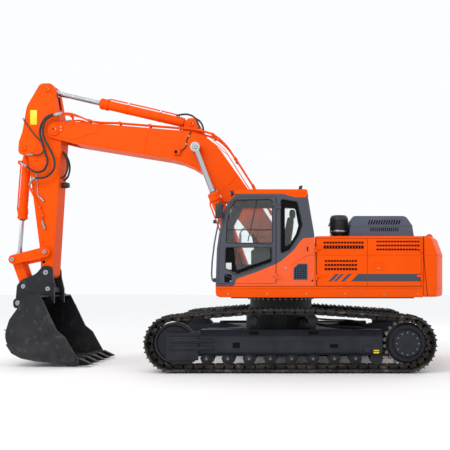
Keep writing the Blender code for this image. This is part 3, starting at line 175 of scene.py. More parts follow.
def coat(name, colour, rough=0.4, metal=0.0, shift=0.12, dust=0.0, dust_top=1.5, bump=0.03, grain=70.0,
         stretch=None, clear=0.0, rub=None, shine=0.5):
    """Paint or metal with broken colour, dust that thins out upwards, rubs and a fine bump."""
    material, shader, make, link = new_material(name)
    coords = make("ShaderNodeTexCoord")
    broad = noise_of(make, link, coords, 1.7, 5.0)
    dark = tuple(c * (1 - shift) for c in colour) + (1,)
    light = tuple(min(1.0, c * (1 + shift)) for c in colour) + (1,)
    surface = ramp_of(make, link, broad.outputs["Fac"], 0.3, 0.7, dark, light).outputs["Color"]
    fine = noise_of(make, link, coords, grain, 3.0, stretch)
    if rub:
        patches = noise_of(make, link, coords, 9.0, 8.0)
        mask = ramp_of(make, link, patches.outputs["Fac"], 0.6, 0.66)
        surface = mixed(make, link, mask.outputs["Color"], surface, tuple(rub) + (1,))
    if dust:
        split = make("ShaderNodeSeparateXYZ")
        link(coords.outputs["Object"], split.inputs["Vector"])
        height = make("ShaderNodeMapRange")
        height.inputs["From Min"].default_value = 0.0
        height.inputs["From Max"].default_value = dust_top
        height.inputs["To Min"].default_value = dust
        height.inputs["To Max"].default_value = 0.0
        link(split.outputs["Z"], height.inputs["Value"])
        cloud = noise_of(make, link, coords, 4.5, 9.0)
        patchy = ramp_of(make, link, cloud.outputs["Fac"], 0.36, 0.72)
        amount = make("ShaderNodeMath")
        amount.operation = "MULTIPLY"
        link(height.outputs["Result"], amount.inputs[0])
        link(patchy.outputs["Color"], amount.inputs[1])
        surface = mixed(make, link, amount.outputs["Value"], surface, DUST)
    link(surface, shader.inputs["Base Color"])
    gloss = make("ShaderNodeMapRange")
    gloss.inputs["To Min"].default_value = max(0.03, rough - 0.1)
    gloss.inputs["To Max"].default_value = min(1.0, rough + 0.12)
    link(fine.outputs["Fac"], gloss.inputs["Value"])
    link(gloss.outputs["Result"], shader.inputs["Roughness"])
    relief = make("ShaderNodeBump")
    relief.inputs["Strength"].default_value = bump
    relief.inputs["Distance"].default_value = 0.004
    link(fine.outputs["Fac"], relief.inputs["Height"])
    link(relief.outputs["Normal"], shader.inputs["Normal"])
    shader.inputs["Metallic"].default_value = metal
    shader.inputs["Coat Weight"].default_value = clear
    shader.inputs["Specular IOR Level"].default_value = shine
    return material


# %% [markdown]
# Each finish of the machine is one call. Orange is a glossy top coat, the undercarriage and the
# covers are satin blue-grey, the bucket is satin and scuffed, the shoes are bare steel with a
# brown film, and the rods are hard chrome with faint marks along their stroke.

# %% The finishes
orange = coat("orange_top_coat", (0.85, 0.082, 0.0005), 0.4, shift=0.05, dust=0.06, dust_top=1.8, bump=0.02,
              shine=0.07)
dark_paint = coat("undercarriage_satin", (0.011, 0.013, 0.02), 0.42, shift=0.2, dust=0.05, dust_top=1.2,
                  bump=0.06, shine=0.24)
cover_paint = coat("cover_satin", (0.07, 0.09, 0.14), 0.4, shift=0.12, bump=0.04)
bucket_paint = coat("bucket_satin", (0.012, 0.013, 0.017), 0.46, shift=0.25, dust=0.08, dust_top=1.3,
                    bump=0.08, rub=(0.03, 0.032, 0.036), shine=0.28)
cast_dark = coat("cast_dark", (0.009, 0.01, 0.013), 0.55, shift=0.25, dust=0.1, dust_top=1.3, bump=0.25,
                 grain=120.0)
track_steel = coat("track_steel", (0.018, 0.016, 0.016), 0.58, 0.55, 0.35, dust=0.22, dust_top=1.6, bump=0.35,
                   grain=60.0, rub=(0.11, 0.088, 0.07))
worn_steel = coat("worn_steel", (0.17, 0.145, 0.125), 0.42, 0.85, 0.25, bump=0.15, grain=90.0,
                  rub=(0.27, 0.24, 0.21))
chrome = coat("rod_chrome_plate", (0.5, 0.52, 0.56), 0.14, 1.0, 0.04, bump=0.01, grain=40.0,
              stretch=(1, 1, 0.05))
zinc = coat("zinc_fitting", (0.36, 0.37, 0.39), 0.34, 1.0, 0.12, bump=0.08, grain=150.0)
rubber = coat("hose_rubber", (0.012, 0.012, 0.013), 0.5, shift=0.2, bump=0.2, grain=260.0)
plastic = coat("black_moulding", (0.016, 0.016, 0.018), 0.5, shift=0.15, bump=0.18, grain=300.0)
stripe_paint = coat("navy_stripe", (0.03, 0.037, 0.06), 0.38, shift=0.08, bump=0.02, clear=0.2)
# painted shade: near-black with almost no shine, laid as the floors of holes, slots, grooves, grilles and
# seams where only shade falls; the printed pane borders use it too
shade_and_print_black = coat("painted_shade_and_print_black", (0.006, 0.006, 0.007), 0.75, shift=0.1, bump=0.05, shine=0.04)
iron = coat("engine_iron", (0.16, 0.16, 0.165), 0.55, 0.6, 0.2, bump=0.3, grain=50.0)
plate_yellow = coat("plate_yellow", (0.88, 0.66, 0.012), 0.4, shift=0.05, bump=0.02)
plate_pale = coat("plate_pale", (0.62, 0.64, 0.64), 0.4, shift=0.05, bump=0.02)
lamp_lens = coat("lamp_lens", (0.75, 0.78, 0.8), 0.12, shift=0.05, bump=0.3, grain=45.0, clear=0.6)
print("finishes:", len([m for m in bpy.data.materials if m.users == 0]))

# %% [markdown]
# Three finishes need more than a coat. Cab glass is tinted and clear. The seat is woven cloth,
# two wave textures crossing. And the cab's panels are two-coloured: a line runs from the foot
# of the front corner up to the rear, grey above it and orange below. A float curve holds that
# line as height over length, and a comparison with the surface's own height picks the coat.

# %% Glass, cloth and the two-coloured cab
def tinted_glass():
    """Clear green-grey safety glass with a breath of dust on it."""
    material, shader, make, link = new_material("tinted_glass")
    coords = make("ShaderNodeTexCoord")
    haze = noise_of(make, link, coords, 3.0, 6.0)
    tint = ramp_of(make, link, haze.outputs["Fac"], 0.3, 0.75, (0.9, 0.95, 0.935, 1), (0.94, 0.98, 0.97, 1))
    link(tint.outputs["Color"], shader.inputs["Base Color"])
    blur = make("ShaderNodeMapRange")
    blur.inputs["To Min"].default_value = 0.0
    blur.inputs["To Max"].default_value = 0.08
    link(haze.outputs["Fac"], blur.inputs["Value"])
    link(blur.outputs["Result"], shader.inputs["Roughness"])
    shader.inputs["Transmission Weight"].default_value = 1.0
    shader.inputs["IOR"].default_value = 1.45
    return material


def woven_cloth():
    """Dark seat cloth: two sets of threads crossing."""
    material, shader, make, link = new_material("seat_weave")
    coords = make("ShaderNodeTexCoord")
    threads = []
    for way in ("X", "Z"):
        wave = make("ShaderNodeTexWave")
        wave.bands_direction = way
        wave.inputs["Scale"].default_value = 60.0
        wave.inputs["Distortion"].default_value = 1.0
        link(coords.outputs["Object"], wave.inputs["Vector"])
        threads.append(wave)
    weave = make("ShaderNodeMath")
    weave.operation = "MULTIPLY"
    link(threads[0].outputs["Fac"], weave.inputs[0])
    link(threads[1].outputs["Fac"], weave.inputs[1])
    colour = ramp_of(make, link, weave.outputs["Value"], 0.0, 1.0, (0.018, 0.018, 0.02, 1),
                     (0.05, 0.05, 0.055, 1))
    link(colour.outputs["Color"], shader.inputs["Base Color"])
    relief = make("ShaderNodeBump")
    relief.inputs["Strength"].default_value = 0.4
    relief.inputs["Distance"].default_value = 0.001
    link(weave.outputs["Value"], relief.inputs["Height"])
    link(relief.outputs["Normal"], shader.inputs["Normal"])
    shader.inputs["Roughness"].default_value = 0.9
    shader.inputs["Sheen Weight"].default_value = 0.3
    return material


CAB_LINE = [(-0.822, 1.5), (-0.754, 1.663), (-0.722, 1.681), (-0.362, 1.808), (-0.048, 1.937),
            (0.042, 1.988), (0.176, 2.101), (0.289, 2.201), (0.39, 2.347), (0.446, 2.399), (0.7, 2.424)]


def two_coats():
    """Grey above the cab's line and orange below it."""
    material, shader, make, link = new_material("cab_two_coats")
    coords = make("ShaderNodeTexCoord")
    split = make("ShaderNodeSeparateXYZ")
    link(coords.outputs["Object"], split.inputs["Vector"])
    along = make("ShaderNodeMapRange")
    along.inputs["From Min"].default_value = SLEW_X - 1.0
    along.inputs["From Max"].default_value = SLEW_X + 1.0
    link(split.outputs["X"], along.inputs["Value"])
    line = make("ShaderNodeFloatCurve")
    points = line.mapping.curves[0].points
    places = [(0.0, 0.0)] + [((x + 1) / 2, (z - 1.4) / 1.2) for x, z in CAB_LINE] + [(1.0, 0.86)]
    while len(points) < len(places):
        points.new(0.5, 0.5)
    for point, place in zip(points, places):
        point.location = place
        point.handle_type = "VECTOR"
    line.mapping.update()
    link(along.outputs["Result"], line.inputs["Value"])
    height = make("ShaderNodeMapRange")
    height.inputs["From Min"].default_value = 1.4
    height.inputs["From Max"].default_value = 2.6
    link(split.outputs["Z"], height.inputs["Value"])
    above = make("ShaderNodeMath")
    above.operation = "GREATER_THAN"
    link(height.outputs["Result"], above.inputs[0])
    link(line.outputs["Value"], above.inputs[1])
    broad = noise_of(make, link, coords, 1.7, 5.0)
    grey = ramp_of(make, link, broad.outputs["Fac"], 0.3, 0.7, (0.04, 0.045, 0.064, 1),
                   (0.052, 0.058, 0.08, 1))
    warm = ramp_of(make, link, broad.outputs["Fac"], 0.3, 0.7, (0.8, 0.082, 0.0006, 1),
                   (0.88, 0.09, 0.0006, 1))
    link(mixed(make, link, above.outputs["Value"], warm.outputs["Color"], grey.outputs["Color"]),
         shader.inputs["Base Color"])
    fine = noise_of(make, link, coords, 70.0, 3.0)
    gloss = make("ShaderNodeMapRange")
    gloss.inputs["To Min"].default_value = 0.28
    gloss.inputs["To Max"].default_value = 0.48
    link(fine.outputs["Fac"], gloss.inputs["Value"])
    link(gloss.outputs["Result"], shader.inputs["Roughness"])
    return material


glass = tinted_glass()
cloth = woven_cloth()
cab_coats = two_coats()
print("glass, cloth and cab coats made")

# %% [markdown]
# ## Modelling helpers
# Every new piece starts as a primitive or an outline, is shaped in edit mode, and ends with its
# place in its mesh. These helpers are the moves that come again and again.

# %% Starting pieces
def clear():
    """Leave edit mode and let go of everything."""
    if bpy.context.object and bpy.context.object.mode != "OBJECT":
        bpy.ops.object.mode_set(mode="OBJECT")
    bpy.ops.object.select_all(action="DESELECT")


def applied():
    """Put the active object's place, turn and size into its mesh, and return it."""
    bpy.ops.object.transform_apply(location=True, rotation=True, scale=True)
    return bpy.context.object


def softened(piece, width, segments=2):
    """Bevel the sharp edges of a piece with a modifier, and apply it."""
    clear()
    bpy.context.view_layer.objects.active = piece
    piece.select_set(True)
    edge = piece.modifiers.new("edge", "BEVEL")
    edge.width = width
    edge.segments = segments
    edge.limit_method = "ANGLE"
    bpy.ops.object.modifier_apply(modifier="edge")
    return piece


def block(xs, ys, zs, edge=0.0):
    """A box between low and high along each axis, its edges bevelled if asked."""
    clear()
    middle = [(a + b) / 2 for a, b in (xs, ys, zs)]
    bpy.ops.mesh.primitive_cube_add(size=1, location=middle)
    bpy.context.object.scale = [abs(b - a) for a, b in (xs, ys, zs)]
    piece = applied()
    return softened(piece, edge, 2) if edge else piece


def disc(centre, radius, depth, axis="y", steps=24, edge=0.0):
    """A round bar about an axis, with its middle at a point."""
    clear()
    turn = {"x": (0, radians(90), 0), "y": (radians(90), 0, 0), "z": (0, 0, 0)}[axis]
    bpy.ops.mesh.primitive_cylinder_add(vertices=steps, radius=radius, depth=depth, location=centre,
                                        rotation=turn)
    piece = applied()
    return softened(piece, edge, 2) if edge else piece


def bar(a, b, radius, steps=16, edge=0.0):
    """A round bar from one point to another."""
    clear()
    a, b = Vector(a), Vector(b)
    bpy.ops.mesh.primitive_cylinder_add(vertices=steps, radius=radius, depth=(b - a).length,
                                        location=(a + b) / 2,
                                        rotation=(b - a).to_track_quat("Z", "Y").to_euler())
    piece = applied()
    return softened(piece, edge, 1) if edge else piece


def sheet_metal(points, low, high, axis="y", edge=0.0):
    """A flat outline, extruded in edit mode between low and high along an axis."""
    clear()
    mesh = bpy.data.meshes.new("outline")
    if axis == "y":
        corners = [(x, low, z) for x, z in points]
    elif axis == "x":
        corners = [(low, y, z) for y, z in points]
    else:
        corners = [(x, y, low) for x, y in points]
    mesh.from_pydata(corners, [], [range(len(corners))])
    piece = bpy.data.objects.new("outline", mesh)
    bpy.context.scene.collection.objects.link(piece)
    bpy.context.view_layer.objects.active = piece
    piece.select_set(True)
    bpy.ops.object.mode_set(mode="EDIT")
    bpy.ops.mesh.select_all(action="SELECT")
    way = {"x": (high - low, 0, 0), "y": (0, high - low, 0), "z": (0, 0, high - low)}[axis]
    bpy.ops.mesh.extrude_region_move(TRANSFORM_OT_translate={"value": way})
    bpy.ops.mesh.select_all(action="SELECT")
    bpy.ops.mesh.normals_make_consistent(inside=False)
    bpy.ops.object.mode_set(mode="OBJECT")
    return softened(piece, edge, 1) if edge else piece


def hose(points, radius, sides=3, smooth=True):
    """A tube along points: a curve with a round section, turned into a closed mesh."""
    clear()
    line = bpy.data.curves.new("hose", "CURVE")
    line.dimensions = "3D"
    line.bevel_depth = radius
    line.bevel_resolution = sides
    line.use_fill_caps = True
    line.resolution_u = 6 if smooth else 1
    spline = line.splines.new("BEZIER" if smooth else "POLY")
    marks = spline.bezier_points if smooth else spline.points
    marks.add(len(points) - 1)
    for mark, place in zip(marks, points):
        mark.co = place if smooth else (*place, 1)
        if smooth:
            mark.handle_left_type = mark.handle_right_type = "AUTO"
    piece = bpy.data.objects.new("hose", line)
    bpy.context.scene.collection.objects.link(piece)
    bpy.context.view_layer.objects.active = piece
    piece.select_set(True)
    bpy.ops.object.convert(target="MESH")
    bpy.ops.object.mode_set(mode="EDIT")
    bpy.ops.mesh.select_all(action="SELECT")
    bpy.ops.mesh.remove_doubles(threshold=0.00005)
    bpy.ops.mesh.normals_make_consistent(inside=False)
    bpy.ops.object.mode_set(mode="OBJECT")
    return bpy.context.object


def turned(profile, centre, axis="y", steps=32):
    """A round piece: a profile of (radius, place along the axis) spun once round in edit mode."""
    clear()
    centre = Vector(centre)
    aim = {"x": Vector((1, 0, 0)), "y": Vector((0, 1, 0)), "z": Vector((0, 0, 1))}[axis]
    out = Vector((0, 0, 1)) if axis != "z" else Vector((1, 0, 0))
    mesh = bpy.data.meshes.new("profile")
    spots = [centre + out * r + aim * d for r, d in profile]
    mesh.from_pydata(spots, [(i, i + 1) for i in range(len(spots) - 1)], [])
    piece = bpy.data.objects.new("profile", mesh)
    bpy.context.scene.collection.objects.link(piece)
    bpy.context.view_layer.objects.active = piece
    piece.select_set(True)
    bpy.ops.object.mode_set(mode="EDIT")
    bpy.ops.mesh.select_all(action="SELECT")
    bpy.ops.mesh.spin(steps=steps, angle=2 * pi, center=centre, axis=aim)
    bpy.ops.mesh.select_all(action="SELECT")
    bpy.ops.mesh.remove_doubles(threshold=0.0001)
    bpy.ops.mesh.normals_make_consistent(inside=False)
    bpy.ops.object.mode_set(mode="OBJECT")
    return piece


# %% [markdown]
# A piece that repeats is made once and copied, each copy with a mesh of its own. Joined pieces
# keep the finish that each was given. Handing a piece over moves it to its place in the frame,
# smooths its faces by angle, and says which body carries it.

# %% Copying, joining and handing over
def coated(piece, material):
    """Give a piece one finish."""
    piece.data.materials.clear()
    piece.data.materials.append(material)
    return piece


def copied(piece, matrix):
    """A copy of a piece with its own mesh, moved by a matrix."""
    twin = piece.copy()
    twin.data = piece.data.copy()
    twin.data.transform(matrix)
    bpy.context.scene.collection.objects.link(twin)
    return twin


def joined(pieces):
    """One object from several."""
    clear()
    for piece in pieces:
        piece.select_set(True)
    bpy.context.view_layer.objects.active = pieces[0]
    if len(pieces) > 1:
        bpy.ops.object.join()
    return pieces[0]


def handed(pieces, name, body, slot, *stands_for):
    """Join, name, smooth and place pieces, and tie them to a body of the frame."""
    piece = joined(list(pieces))
    piece.name = name
    piece.data.transform(Matrix.Translation((SLEW_X, 0, 0)))
    clear()
    bpy.context.view_layer.objects.active = piece
    piece.select_set(True)
    bpy.ops.object.shade_smooth_by_angle(angle=radians(32))
    if body:
        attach(piece, body)
    if stands_for:
        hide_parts(*stands_for)
    print(name, len(piece.data.polygons), "faces on", body or "two bodies")
    return piece


def bolt(place, axis="y", out=-1, size=0.016, head=0.01, finish=None):
    """A hexagon bolt head standing on a face, zinc unless it was painted over."""
    x, y, z = place
    step = out * head / 2
    centre = {"x": (x + step, y, z), "y": (x, y + step, z), "z": (x, y, z + step)}[axis]
    return coated(disc(centre, size, head, axis, 6), finish or zinc)


print("helpers ready")

# %% [markdown]
# ## The frame's own nodes
# Most CAD solids already have their true shape, so each keeps it and only changes its coat.
# The list gives the finish of every node; what is replaced later is coated here too.

# %% Coat the frame's nodes
FINISHES = {
    dark_paint: ["car_body", "track_frame_l", "track_frame_r", "final_drive_l", "final_drive_r", "idler_l",
                 "idler_r", "lower_rollers_l", "lower_rollers_r", "deck"],
    track_steel: ["track_l", "track_r"],
    cast_dark: ["slew_ring"],
    orange: ["side_skirt_l", "side_skirt_r", "cab_roof", "house_frame", "step_box", "fuel_tank",
             "hydraulic_tank", "counterweight", "left_front_door", "left_rear_door", "right_rear_door",
             "boom",
             "arm", "boom_cylinder_l_tube", "boom_cylinder_r_tube", "arm_cylinder_tube",
             "bucket_cylinder_tube", "rocker_link_l", "rocker_link_r", "power_link"],
    cover_paint: ["engine_hood", "hood_front", "cab_rail", "step_rail"],
    cab_coats: ["cab_shell", "cab_door"],
    bucket_paint: ["bucket", "quick_coupler"],
    glass: ["windscreen", "rear_glass", "quarter_glass", "right_glass", "door_glass_upper",
            "door_glass_lower"],
    cloth: ["cab_seat"],
    plastic: ["controls", "mirror_l", "precleaner"],
    iron: ["engine_block"],
    chrome: ["boom_cylinder_l_rod", "boom_cylinder_r_rod", "arm_cylinder_rod", "bucket_cylinder_rod"],
}
for finish, names in FINISHES.items():
    for name in names:
        slots = nodes[name].material_slots
        for slot in slots:
            slot.material = finish
print("coated", sum(len(names) for names in FINISHES.values()), "of", len(nodes))

# %% [markdown]
# ## Tracks
# A track is a chain of forged links with a pressed shoe bolted on each. The belt it follows
# wraps the idler in front, the sprocket behind and the two carrier rollers on top. One shoe
# and one pair of links are modelled flat, then copied sixty-two times along that belt, each
# turned to the belt's direction. The link is steel
# and the shoe is scuffed.

# %% The belt that the shoes follow
IDLER = (-1.87, 0.52)
SPROCKET = (2.3, 0.52)
WHEEL = 0.49
CARRIERS = ((0.62, 0.92), (-0.47, 0.92))
CARRIER_REACH = 0.21
SHOES = 62


def belt(circles):
    """Straight and round stretches of a closed belt round circles of (x, z, radius)."""
    normals = []
    for i, (x, z, radius) in enumerate(circles):
        nx, nz, near = circles[(i + 1) % len(circles)]
        way = Vector((nx - x, nz - z))
        lean = (radius - near) / way.length
        way.normalize()
        normals.append(way * lean + Vector((way.y, -way.x)) * sqrt(1 - lean * lean))
    stretches = []
    for i, (x, z, radius) in enumerate(circles):
        first = atan2(normals[i - 1].y, normals[i - 1].x)
        sweep = (atan2(normals[i].y, normals[i].x) - first) % (2 * pi)
        if sweep > 2 * pi - 0.001:
            sweep = 0.0
        stretches.append(("arc", Vector((x, z)), radius, first, sweep, radius * sweep))
        nx, nz, near = circles[(i + 1) % len(circles)]
        start = Vector((x, z)) + normals[i] * radius
        stop = Vector((nx, nz)) + normals[i] * near
        stretches.append(("line", start, stop, normals[i], 0.0, (stop - start).length))
    return stretches


track_path = belt([(*IDLER, WHEEL), (*SPROCKET, WHEEL), (*CARRIERS[0], CARRIER_REACH),
                   (*CARRIERS[1], CARRIER_REACH)])
path_length = sum(part[-1] for part in track_path)
pitch = path_length / SHOES
print("track", round(path_length, 3), "m, pitch", round(pitch, 4))


def on_belt(distance):
    """The belt's point and its outward direction, a distance along it."""
    distance %= path_length
    for part in track_path:
        if distance <= part[-1]:
            break
        distance -= part[-1]
    if part[0] == "arc":
        angle = part[3] + part[4] * distance / max(part[-1], 1e-9)
        normal = Vector((cos(angle), sin(angle)))
        return part[1] + normal * part[2], normal
    return part[1].lerp(part[2], distance / part[-1]), part[3]


# %% One shoe and one pair of links, lying flat
def shoe_piece():
    """A shoe with two bars across it and four bolts."""
    half = pitch / 2
    section = [(-half + 0.004, -0.03), (-half + 0.002, -0.008), (-half + 0.012, 0.0), (-0.058, 0.0),
               (-0.052, 0.026), (-0.036, 0.026), (-0.03, 0.0), (0.02, 0.0), (0.028, 0.026), (0.044, 0.026),
               (0.05, 0.0), (half - 0.01, -0.003), (half + 0.004, -0.014), (half + 0.004, -0.024),
               (0.06, -0.034), (-0.06, -0.034)]
    plate = coated(sheet_metal(section, -0.299, 0.299), track_steel)
    pieces = [plate]
    for x in (-0.012, 0.068):
        for y in (-0.075, 0.075):
            pieces.append(bolt((x, y, -0.001), "z", 1, 0.014, 0.01, worn_steel))
    return joined(pieces)


def link_piece():
    """Two forged links, their outline waisted in the middle, with the pin and its bushing."""
    half = pitch / 2
    outline = [(-half - 0.018, -0.036), (half + 0.012, -0.036), (half + 0.022, -0.06), (half + 0.006, -0.088),
               (half - 0.02, -0.106), (-half + 0.03, -0.106), (-half - 0.006, -0.092),
               (-half - 0.024, -0.062)]
    pieces = []
    for y in (-0.092, 0.092):
        pieces.append(coated(sheet_metal(outline, y - 0.017, y + 0.017, "y", 0.004), track_steel))
    pieces.append(coated(disc((half, 0, -0.066), 0.023, 0.217, "y", 10), worn_steel))
    pieces.append(coated(disc((half, 0, -0.066), 0.031, 0.145, "y", 10), worn_steel))
    return joined(pieces)


shoe = shoe_piece()
link = link_piece()
one_shoe = joined([shoe, link])
print("a shoe with its links:", len(one_shoe.data.polygons), "faces")


# %% Lay both tracks
def laid_track(side, y):
    """Sixty-two shoes along the belt of one side."""
    row = []
    for i in range(SHOES):
        spot, normal = on_belt((i + 0.5) * pitch)
        turn = Matrix.Rotation(pi / 2 - atan2(normal.y, normal.x), 4, "Y")
        row.append(copied(one_shoe, Matrix.Translation((spot.x, y, spot.y)) @ turn))
    return handed(row, "track_shoes_" + side, "undercarriage", "track_steel", "track_" + side)


laid_track("l", -GAUGE_HALF)
laid_track("r", GAUGE_HALF)
bpy.data.objects.remove(one_shoe)

# %% [markdown]
# ## Wheels and side frames
# The sprocket needs its teeth, the final drive its cover with a ring of bolts, and the idler a
# rim with a hub cap. These are turned, and the repeated bolts and teeth are copied by a turn
# about the wheel's axis. The pieces stand on the CAD wheels, a few millimetres proud.

# %% Drive, idler and roller details
def ring_of(piece, centre, count, first=0.0):
    """Copies of a piece turned about an axis through a centre along y; the first one is removed."""
    to, back = Matrix.Translation(centre), Matrix.Translation(-Vector(centre))
    row = [copied(piece,
                  to @ Matrix.Rotation(first + 2 * pi * k / count, 4, "Y") @ back) for k in range(count)]
    bpy.data.objects.remove(piece)
    return row


def drive_details(side, out):
    """Toothed ring, domed cover and bolts of one final drive."""
    y = out * GAUGE_HALF
    centre = (SPROCKET[0], y, SPROCKET[1])
    x, z = SPROCKET
    tooth = coated(sheet_metal([(x - 0.046, z + 0.362), (x + 0.046, z + 0.362), (x + 0.03, z + 0.4),
                                (x + 0.012, z + 0.424), (x - 0.012, z + 0.424), (x - 0.03, z + 0.4)],
                               y - 0.034, y + 0.034, "y", 0.004), worn_steel)
    pieces = ring_of(tooth, centre, 21, radians(4))
    face = y + out * 0.13
    cover = turned([(0.0, out * 0.214), (0.175, out * 0.214), (0.215, out * 0.205), (0.232, out * 0.188),
                    (0.24, out * 0.15), (0.262, out * 0.142), (0.268, out * 0.13), (0.0, out * 0.13)],
                   centre, "y", 48)
    pieces.append(coated(cover, dark_paint))
    cap = turned([(0.0, out * 0.224), (0.05, out * 0.224), (0.058, out * 0.214), (0.0, out * 0.212)], centre,
                 "y", 24)
    pieces.append(coated(cap, dark_paint))
    flange = turned([(0.268, out * 0.128), (0.268, out * 0.138), (0.325, out * 0.134), (0.338, out * 0.112),
                     (0.338, out * 0.104), (0.268, out * 0.104)], centre, "y", 48)
    pieces.append(coated(flange, dark_paint))
    pieces += ring_of(bolt((x, face + out * 0.004, z + 0.3), "y", out, 0.013, 0.009, dark_paint), centre, 24)
    pieces += ring_of(bolt((x, y + out * 0.213, z + 0.195), "y", out, 0.01, 0.007, zinc), centre, 12)
    for turn in (-0.5, 2.6):
        plug = Vector((x + 0.12 * cos(turn), y + out * 0.214, z + 0.12 * sin(turn)))
        pieces.append(bolt(plug, "y", out, 0.018, 0.008, dark_paint))
    return handed(pieces, "drive_details_" + side, "undercarriage", "undercarriage_paint")


def idler_details(side, out):
    """Hub cap and rim lines of one idler."""
    y = out * GAUGE_HALF
    centre = (IDLER[0], y, IDLER[1])
    hub = turned([(0.0, out * 0.139), (0.06, out * 0.139), (0.072, out * 0.131), (0.1, out * 0.128),
                  (0.128, out * 0.096), (0.0, out * 0.09)], centre, "y", 32)
    pieces = [coated(hub, dark_paint)]
    rim = turned([(0.335, out * 0.057), (0.345, out * 0.062), (0.364, out * 0.062), (0.372, out * 0.054),
                  (0.372, out * 0.04), (0.335, out * 0.04)], centre, "y", 48)
    pieces.append(coated(rim, cast_dark))
    return handed(pieces, "idler_details_" + side, "undercarriage", "undercarriage_paint")


for side, out in (("l", -1), ("r", 1)):
    drive_details(side, out)
    idler_details(side, out)

# %% [markdown]
# The side frame is one long welded box. Its face carries what a mechanic sees: two steps at the
# front, access holes, lightening holes in the sloped top, a grease point, and the round ends of
# the rollers below with their bolts. Holes in so plain a plate read as dark recesses, so each is
# an inset plate of shadow black with a thin raised rim around it.

# %% Side frame details
FRAME_HALF = 0.24
ROLLER_X = [-1.275 + 0.379 * k for k in range(8)]
ROLLER_Z = 0.25


def rounded(x0, x1, z0, z1, corner=0.02, steps=3):
    """The outline of a rectangle with round corners."""
    points = []
    for cx, cz, start in ((x1 - corner, z1 - corner, 0), (x0 + corner, z1 - corner, 90),
                          (x0 + corner, z0 + corner, 180), (x1 - corner, z0 + corner, 270)):
        for k in range(steps + 1):
            angle = radians(start + 90 * k / steps)
            points.append((cx + corner * cos(angle), cz + corner * sin(angle)))
    return points


def rimmed(outline, rim, face, out, axis, frame_coat, fill=None, depth=0.004):
    """A recess look: a raised rim whose middle is inset in edit mode, its floor in the fill finish, by
    default near-black painted shade.
    """
    piece = sheet_metal(outline, face, face + out * depth, axis)
    coated(piece, frame_coat)
    piece.data.materials.append(fill or shade_and_print_black)
    clear()
    bpy.context.view_layer.objects.active = piece
    piece.select_set(True)
    bpy.ops.object.mode_set(mode="EDIT")
    bpy.ops.mesh.select_mode(type="FACE")
    bpy.ops.mesh.select_all(action="DESELECT")
    bpy.ops.object.mode_set(mode="OBJECT")
    index = {"x": 0, "y": 1, "z": 2}[axis]
    for polygon in piece.data.polygons:
        polygon.select = polygon.normal[index] * out > 0.9
    bpy.ops.object.mode_set(mode="EDIT")
    bpy.ops.mesh.inset(thickness=rim, depth=0)
    bpy.ops.mesh.inset(thickness=0.002, depth=-depth * 0.8)
    bpy.context.object.active_material_index = 1
    bpy.ops.object.material_slot_assign()
    bpy.ops.object.mode_set(mode="OBJECT")
    return piece


def frame_details(side, out):
    """Steps, holes, ridges and roller ends on the outer face of one side frame."""
    face = out * (GAUGE_HALF + FRAME_HALF)
    pieces = []
    for x0, x1, z0, z1 in ((-0.813, -0.67, 0.435, 0.55), (0.911, 1.073, 0.44, 0.52)):
        pieces.append(rimmed(rounded(x0, x1, z0, z1, 0.022), 0.006, face, out, "y", dark_paint))
    lean = Matrix.Rotation(-out * atan2(0.11, 0.12), 4, "X")
    for x in (-0.436, 0.628):
        # each lightening hole is a flat near-black sheet of painted shade laid on the slope
        slot = coated(sheet_metal(rounded(-0.09, 0.09, -0.038, 0.038, 0.022), 0.0, 0.004, "z"), shade_and_print_black)
        middle = Matrix.Translation((x, out * (GAUGE_HALF + 0.18), 0.705))
        slot.data.transform(middle @ lean)
        pieces.append(slot)
    low_edge = block((-1.385, 1.8), sorted((face, face + out * 0.012)), (0.378, 0.392), 0.004)
    pieces.append(coated(low_edge, dark_paint))
    guard = block((-1.98, -1.41), sorted((face, face + out * 0.014)), (0.225, 0.64), 0.012)
    pieces.append(coated(guard, dark_paint))
    for z in (0.53, 0.4):
        step = block((-1.93, -1.14), sorted((face, face + out * 0.042)), (z, z + 0.07), 0.022)
        pieces.append(coated(step, dark_paint))
        # the step's groove is a near-black strip of painted shade
        pieces.append(coated(block((-1.9, -1.17), sorted((face, face + out * 0.044)), (z + 0.028, z + 0.036),
                                   0.001),
                             shade_and_print_black))
    hook = sheet_metal([(1.5, 0.48), (1.66, 0.48), (1.64, 0.4), (1.6, 0.375), (1.53, 0.375)], face,
                       face + out * 0.04, "y", 0.006)
    pieces.append(coated(hook, dark_paint))
    pieces.append(coated(block((1.69, 1.79), sorted((face, face + out * 0.003)), (0.35, 0.41), 0.001),
                         plate_yellow))
    y = face - out * 0.07
    for x in ROLLER_X:
        ring = turned([(0.0, out * 0.046), (0.052, out * 0.046), (0.062, out * 0.04), (0.068, out * 0.02),
                       (0.085, out * 0.014), (0.085, 0.0), (0.0, 0.0)], (x, y, ROLLER_Z), "y", 20)
        pieces.append(coated(ring, dark_paint))
        pieces.append(coated(disc((x, y + out * 0.05, ROLLER_Z), 0.022, 0.008, "y", 12), worn_steel))
        for dx in (-0.052, 0.052):
            pieces.append(bolt((x + dx, y + out * 0.03, ROLLER_Z + 0.055), "z", 1, 0.014, 0.012, dark_paint))
    return handed(pieces, "frame_details_" + side, "undercarriage", "undercarriage_paint")


for side, out in (("l", -1), ("r", 1)):
    frame_details(side, out)


def carrier_details(side, out):
    """End caps of the two carrier rollers and their clamps."""
    pieces = []
    for x, z in CARRIERS:
        centre = (x, out * GAUGE_HALF, z)
        cap = turned([(0.0, out * 0.118), (0.035, out * 0.118), (0.045, out * 0.11), (0.085, out * 0.104),
                      (0.093, out * 0.09), (0.0, out * 0.088)], centre, "y", 24)
        pieces.append(coated(cap, dark_paint))
        pieces += ring_of(bolt((x, out * (GAUGE_HALF + 0.107), z + 0.062), "y", out, 0.009, 0.006,
                               dark_paint), centre, 4)
    return handed(pieces, "carrier_caps_" + side, "undercarriage", "undercarriage_paint")


for side, out in (("l", -1), ("r", 1)):
    carrier_details(side, out)
